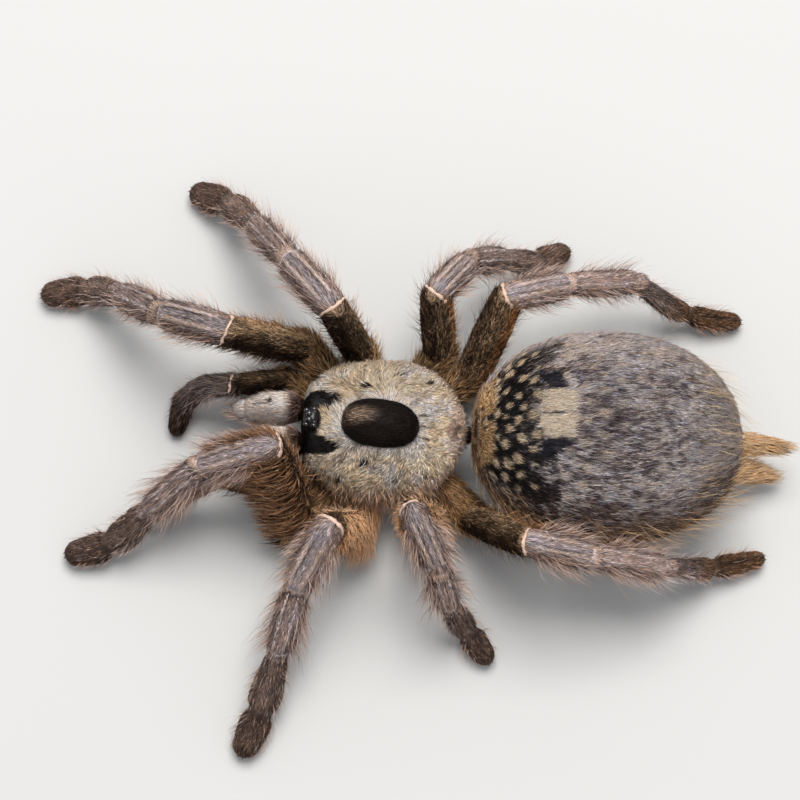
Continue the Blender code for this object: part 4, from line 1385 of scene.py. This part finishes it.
def make_coats():
    """Every coat piece."""
    hair = coat_material("coat hair", roughness=0.45, shine=0.08)
    seed = 11
    for (side, number), parts in LEGS.items():
        beds = limb_beds(parts) + sweep_beds(side, number, parts)
        make_coat(f"coat_leg_{number}_{side}", beds, hair, seed)
        seed += 1
    for side, parts in PALPS.items():
        make_coat(f"coat_palp_{side}", limb_beds(parts), hair, seed)
        seed += 1
    make_coat("coat_abdomen_upper", [
        Bed(ABDOMEN, 42500, 0.9, 0.102, 15, weigh="top half", sway=0.16, gain=(0.5, 3.0),
            dark=0.35, spread=0.5),
        Bed(ABDOMEN, 1500, 1.0, 0.08, 40, ends=(0.02, 0.14), tint=GOLD, share=0.5,
            gain=(0.6, 1.8)),
    ], hair, 41)
    make_coat("coat_abdomen_lower", [
        Bed(ABDOMEN, 14500, 1.1, 0.13, 22, weigh="low half", sway=0.25, gain=(0.9, 2.4),
            dark=0.25),
        Bed(ABDOMEN, 520, 3.4, 0.05, 34, 3, weigh="flanks", tint=FLANK_GOLD, share=0.9,
            sway=0.4, gain=(0.8, 2.0), droop=-0.05, dark=0.1, base=FAN_BROWN, tuft=0.3,
            comb=(0.6, -0.7, 0.2, 0.35)),
        Bed(ABDOMEN, 150, 2.6, 0.045, 30, 3, (0.7, 0.95), "tail", STRAW_TIP, share=0.9,
            sway=0.25, gain=(0.9, 1.8), dark=0.05, base=FLANK_GOLD * 0.6,
            comb=(1.0, 0.0, 0.05, 0.4)),
    ], hair, 42)
    make_coat("coat_carapace", [
        Bed(SHIELD, 6000, 1.2, 0.09, 13, 2, sway=0.2, gain=(0.9, 2.3), dark=0.3, share=0.2,
            tint=STRAW_TIP, tuft=0.25, swirl=1.5, spread=0.35),
        Bed(SHIELD, 24000, 0.75, 0.1, 15, sway=0.22, gain=(0.95, 2.3), dark=0.35, tuft=0.25,
            swirl=1.5, spread=0.35),
        Bed(SHIELD, 700, 1.0, 0.1, 12, ends=(0.7, 1.0), weigh="rear tip", gain=(1.0, 2.2),
            sway=0.2, comb=(1.0, 0.0, -0.2, 0.85)),
        Bed(SHIELD, 500, 0.9, 0.09, 20, 2, (0.92, 1.0), "rim", PINK_TIP, share=0.6,
            gain=(0.8, 2.2), tuft=0.3),
        Bed(SHIELD, 1500, 1.1, 0.08, 24, 2, (0.9, 1.0), "brow", PINK_TIP, share=0.6,
            gain=(0.5, 1.7), comb=(-1.0, 0.0, -0.1, 0.8), dark=0.3, base=BROW_PLUM,
            sway=0.6, spread=0.6),
        Bed(SHIELD, 260, 2.3, 0.09, 24, 2, (0.9, 1.0), "left edge", PINK_TIP, share=0.6,
            gain=(0.5, 1.8), comb=(0.1, -0.9, -0.4, 0.5), base=GOLD * 0.8, sway=0.9),
    ], hair, 43)
    make_coat("coat_jaws", [
        bed for jaw in JAWS for bed in (
            Bed(jaw, 2000, 0.7, 0.1, 12, weigh="upper", sway=0.16, gain=(2.0, 4.0), dark=0.06),
            Bed(jaw, 500, 1.2, 0.08, 12, weigh="upper", sway=0.14, gain=(2.0, 4.0), share=0.4,
                tint=PINK_TIP, dark=0.12),
            Bed(jaw, 420, 2.2, 0.07, 34, 2, (0.3, 1.0), "under", FAN_TIP, share=0.7,
                gain=(0.8, 1.8)),
            Bed(jaw, 400, 0.8, 0.07, 40, 2, (0.05, 0.13), tint=PINK_TIP, share=0.6,
                gain=(0.5, 1.7), comb=(-0.8, 0.0, 0.2, 0.5), base=BROW_PLUM, sway=0.6,
                dark=0.3, spread=0.6),
        )
    ], hair, 44)
    make_coat("coat_under_and_tail", [
        Bed(STERNUM, 2000, 0.7, 0.13, 30),
        Bed(PEDICEL, 400, 0.7, 0.12, 30),
        Bed(CORE, 1800, 0.8, 0.13, 30),
        Bed(CORE, 1500, 3.6, 0.09, 24, 2, weigh="left side", base=FAN_BROWN * 0.8, share=0.6,
            tint=PINK_TIP, gain=(0.5, 1.8), comb=(0.05, -0.95, -0.1, 0.7), sway=0.5),
        *[Bed(part, 2200, 0.8, 0.11, 24, gain=(0.7, 2.4)) for part in SPINNERETS],
        *[Bed(part, 1300, 1.9, 0.1, 30, 2, tint=STRAW_TIP, share=0.4, gain=(0.7, 2.2),
              comb=(1.0, -inward * 0.45, 0.15, 0.5))
          for part, inward in zip(SPINNERETS, (1, -1))],
    ], hair, 45)
    make_coat("coat_horn", [
        Bed(HORN, 7500, 0.8, 0.06, 9, sway=0.07, gain=(0.5, 1.4), spread=0.4, dark=0.2,
            tuft=0.04, root=0.03),
    ], coat_material("horn velvet", roughness=0.4, shine=0.25), 46)


# Hard parts.


def make_hard(name, shapes, material, slot, *nodes):
    """One piece from several closed shapes, standing for CAD nodes if they are named."""
    points, faces = join_shapes(shapes)
    piece = new_mesh(name, points, faces, material)
    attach(piece, "root")
    if nodes:
        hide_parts(*nodes)
    return piece


def make_carapace():
    """Shell plate under the coat, closed below by its flat underside."""
    def surface(u, v):
        """Top for u below a half, and from there the wall and underside back to the middle."""
        top = SHIELD.surface(np.clip(u * 2, 0, 1), v)
        under = SHIELD.surface(np.clip((1 - u) * 2, 0, 1) * 0.97, v)
        under[:, 2] = CARAPACE_UNDER
        return np.where((u <= 0.5)[:, None], top, under)

    points, faces = closed_grid(surface, 90, 140)
    plate = make_hard(
        "carapace_plate", [(points, faces[:, ::-1])], skin_material("shell plate"), "carapace",
        "carapace",
    )
    # The plate is painted at 0.35 of the coat's colours: partly the shell's own darker tone, partly
    # painted shade between the hairs.
    paint(plate, "Markings", np.clip(shield_markings(points)[0] * 0.35, 0.004, 0.9))


def make_horn():
    """The dark horn under its velvet."""
    make_hard(
        "horn_core", [closed_grid(HORN.surface, 40, 64)],
        plain_material("horn shell", HORN_BLACK * 0.5, 0.5, 0.1), "horn", "horn",
    )


EYE_PAIRS = (
    # forward, sideways, radius: front middle, front side, rear side, rear middle
    (-0.34, 0.44, 0.42), (-0.76, 1.04, 0.34), (0.34, 1.2, 0.32), (0.44, 0.76, 0.20),
)


def make_eyes():
    """Eight glossy eyes in two rows on a low dark mound."""
    mound = Oval("mound", "mound", EYES_PLACE, EYES_SIZE, 2.2, coat=0.08)
    make_hard(
        "eye_mound", [closed_grid(mound.surface, 28, 40)],
        plain_material("eye mound", JET * 0.4, 0.22, 0.3), "eyes", "eye_tubercle",
    )
    shapes = []
    for x, y, radius in EYE_PAIRS:
        for sign in (1, -1):
            slope = np.array([x / mound.size[0], sign * y / mound.size[1]]) * 0.82
            up = (1 - (np.abs(slope) ** 2).sum()) ** 0.5
            place = mound.centre + mound.size * np.array([slope[0], slope[1], max(up, 0.1)])
            eye = Oval("eye", "eye", place, (radius, radius * 0.95, radius * 0.95))
            shapes.append(closed_grid(eye.surface, 16, 24))
    make_hard("eyes", shapes, gloss_material("eye lens", rgb(16, 14, 16), 0.06, 1.0), "eyes")


def tapered_arc(centre, reach, drop, start, end, radius, way, rings=24, sides=16):
    """Hook along an ellipse arc in the plane of way and down, with half-width r·(1 - s^1.6)."""
    way = np.append(np.array(way, float), 0.0)
    side = np.cross([0, 0, 1], way)

    def surface(u, v):
        turn = np.radians(start + (end - start) * u)[:, None]
        down = np.array([0, 0, -1])
        axis = way * (-np.cos(turn) * reach) + down * (np.sin(turn) * drop)
        along = unit(way * (np.sin(turn) * reach) + down * (np.cos(turn) * drop))
        across = np.cross(side, along)
        half = radius * np.maximum(1 - u**1.6, 0) * np.minimum(np.sqrt(np.clip(u * 24, 0, 1)), 1)
        angle = 2 * pi * v
        return (
            centre + axis + side * (np.cos(angle) * half)[:, None]
            + across * (np.sin(angle) * half)[:, None]
        )

    return closed_grid(surface, rings, sides)


def make_fangs():
    """Fangs folded back under the jaws."""
    material = gloss_material("fang horn", rgb(30, 18, 14), 0.18, 0.6)
    for side, sign in SIDES:
        centre = np.array([-14.2, sign * CHELICERA_OFFSET, 4.4])
        arc = tapered_arc(centre, 2.6, 1.7, 10, 140, FANG_RADIUS, (1, 0))
        make_hard(f"fang_hook_{side}", [arc], material, "fang", f"fang_{side}")


def joint_rim(part, thickness, reach):
    """Raised fold where the leaning plane of the rim cuts the limb, as a flattened tube.

    Rays in the plane at angles from -reach to reach are followed out by halving to the surface.
    """
    way = part.ways[0]
    side, up = part.frame(way)
    lean = radians(part.lean)
    normal, back = way * cos(lean) + up * sin(lean), up * cos(lean) - way * sin(lean)

    def surface(u, v):
        angle = np.radians(reach * (2 * u - 1))
        ray = back * np.cos(angle)[:, None] + side * np.sin(angle)[:, None]
        start = part.joints[0] + normal * RIM_PLACE[part.lean]
        near, far = np.zeros(len(u)), np.full(len(u), 4.0)
        for _ in range(24):
            middle = (near + far) / 2
            inside = part.locate(start + ray * middle[:, None])[2] < 0
            near, far = np.where(inside, middle, near), np.where(inside, far, middle)
        point = start + ray * near[:, None]
        run = np.maximum((point - part.joints[0]) @ way, 0)
        outward = unit(point - part.joints[0] - way * run[:, None])
        across = unit(normal - outward * (outward @ normal)[:, None])
        wave = np.maximum(1 + 0.6 * noise(point, 0.5, 15) + 0.4 * noise(point, 0.22, 18), 0.3)
        point = point + normal * (0.12 * noise(point, 0.7, 19))[:, None]
        half = thickness * wave * np.sqrt(np.maximum(1 - (2 * u - 1) ** 4, 0))
        point = point + outward * (0.03 + 0.05 * noise(point, 0.6, 3))[:, None]
        turn = 2 * pi * v
        return (
            point + across * (np.cos(turn) * half)[:, None]
            + outward * (np.sin(turn) * half * 0.55)[:, None]
        )

    return closed_grid(surface, 60, 8)


def make_rims():
    """Pale folds of skin at the near end of each patella."""
    shapes = []
    for key, parts in LEGS.items():
        shapes.append(joint_rim(parts[2], 0.3 if key in RIM_LEAN else 0.2, 100))
    for parts in PALPS.values():
        shapes.append(joint_rim(parts[2], 0.16, 80))
    make_hard("joint_rims", shapes, gloss_material("joint rim", RIM_CREAM, 0.6), "patella")


def make_claws():
    """Two small hooked claws at the tip of each foot, and one on each feeler."""
    shapes = []
    for parts in (*LEGS.values(), *PALPS.values()):
        foot = parts[-1]
        way = unit(foot.ways[-1][:2])
        side = np.array([-way[1], way[0]])
        tip = foot.joints[-1] + np.append(way, 0) * (foot.heights[2] - 0.25)
        for sign in (1, -1) if foot.kind == "foot" else (0,):
            centre = tip + np.append(side, 0) * sign * 0.28 + np.array([0, 0, -0.35])
            shapes.append(tapered_arc(centre, -0.55, -0.5, 100, 0, 0.1, way, 8, 6))
    make_hard("claws", shapes, gloss_material("claw horn", rgb(28, 18, 14), 0.25), "fang")


aim_camera()
light_scene()
make_floor()
make_skin()
make_carapace()
make_horn()
make_eyes()
make_fangs()
make_claws()
make_rims()
make_coats()
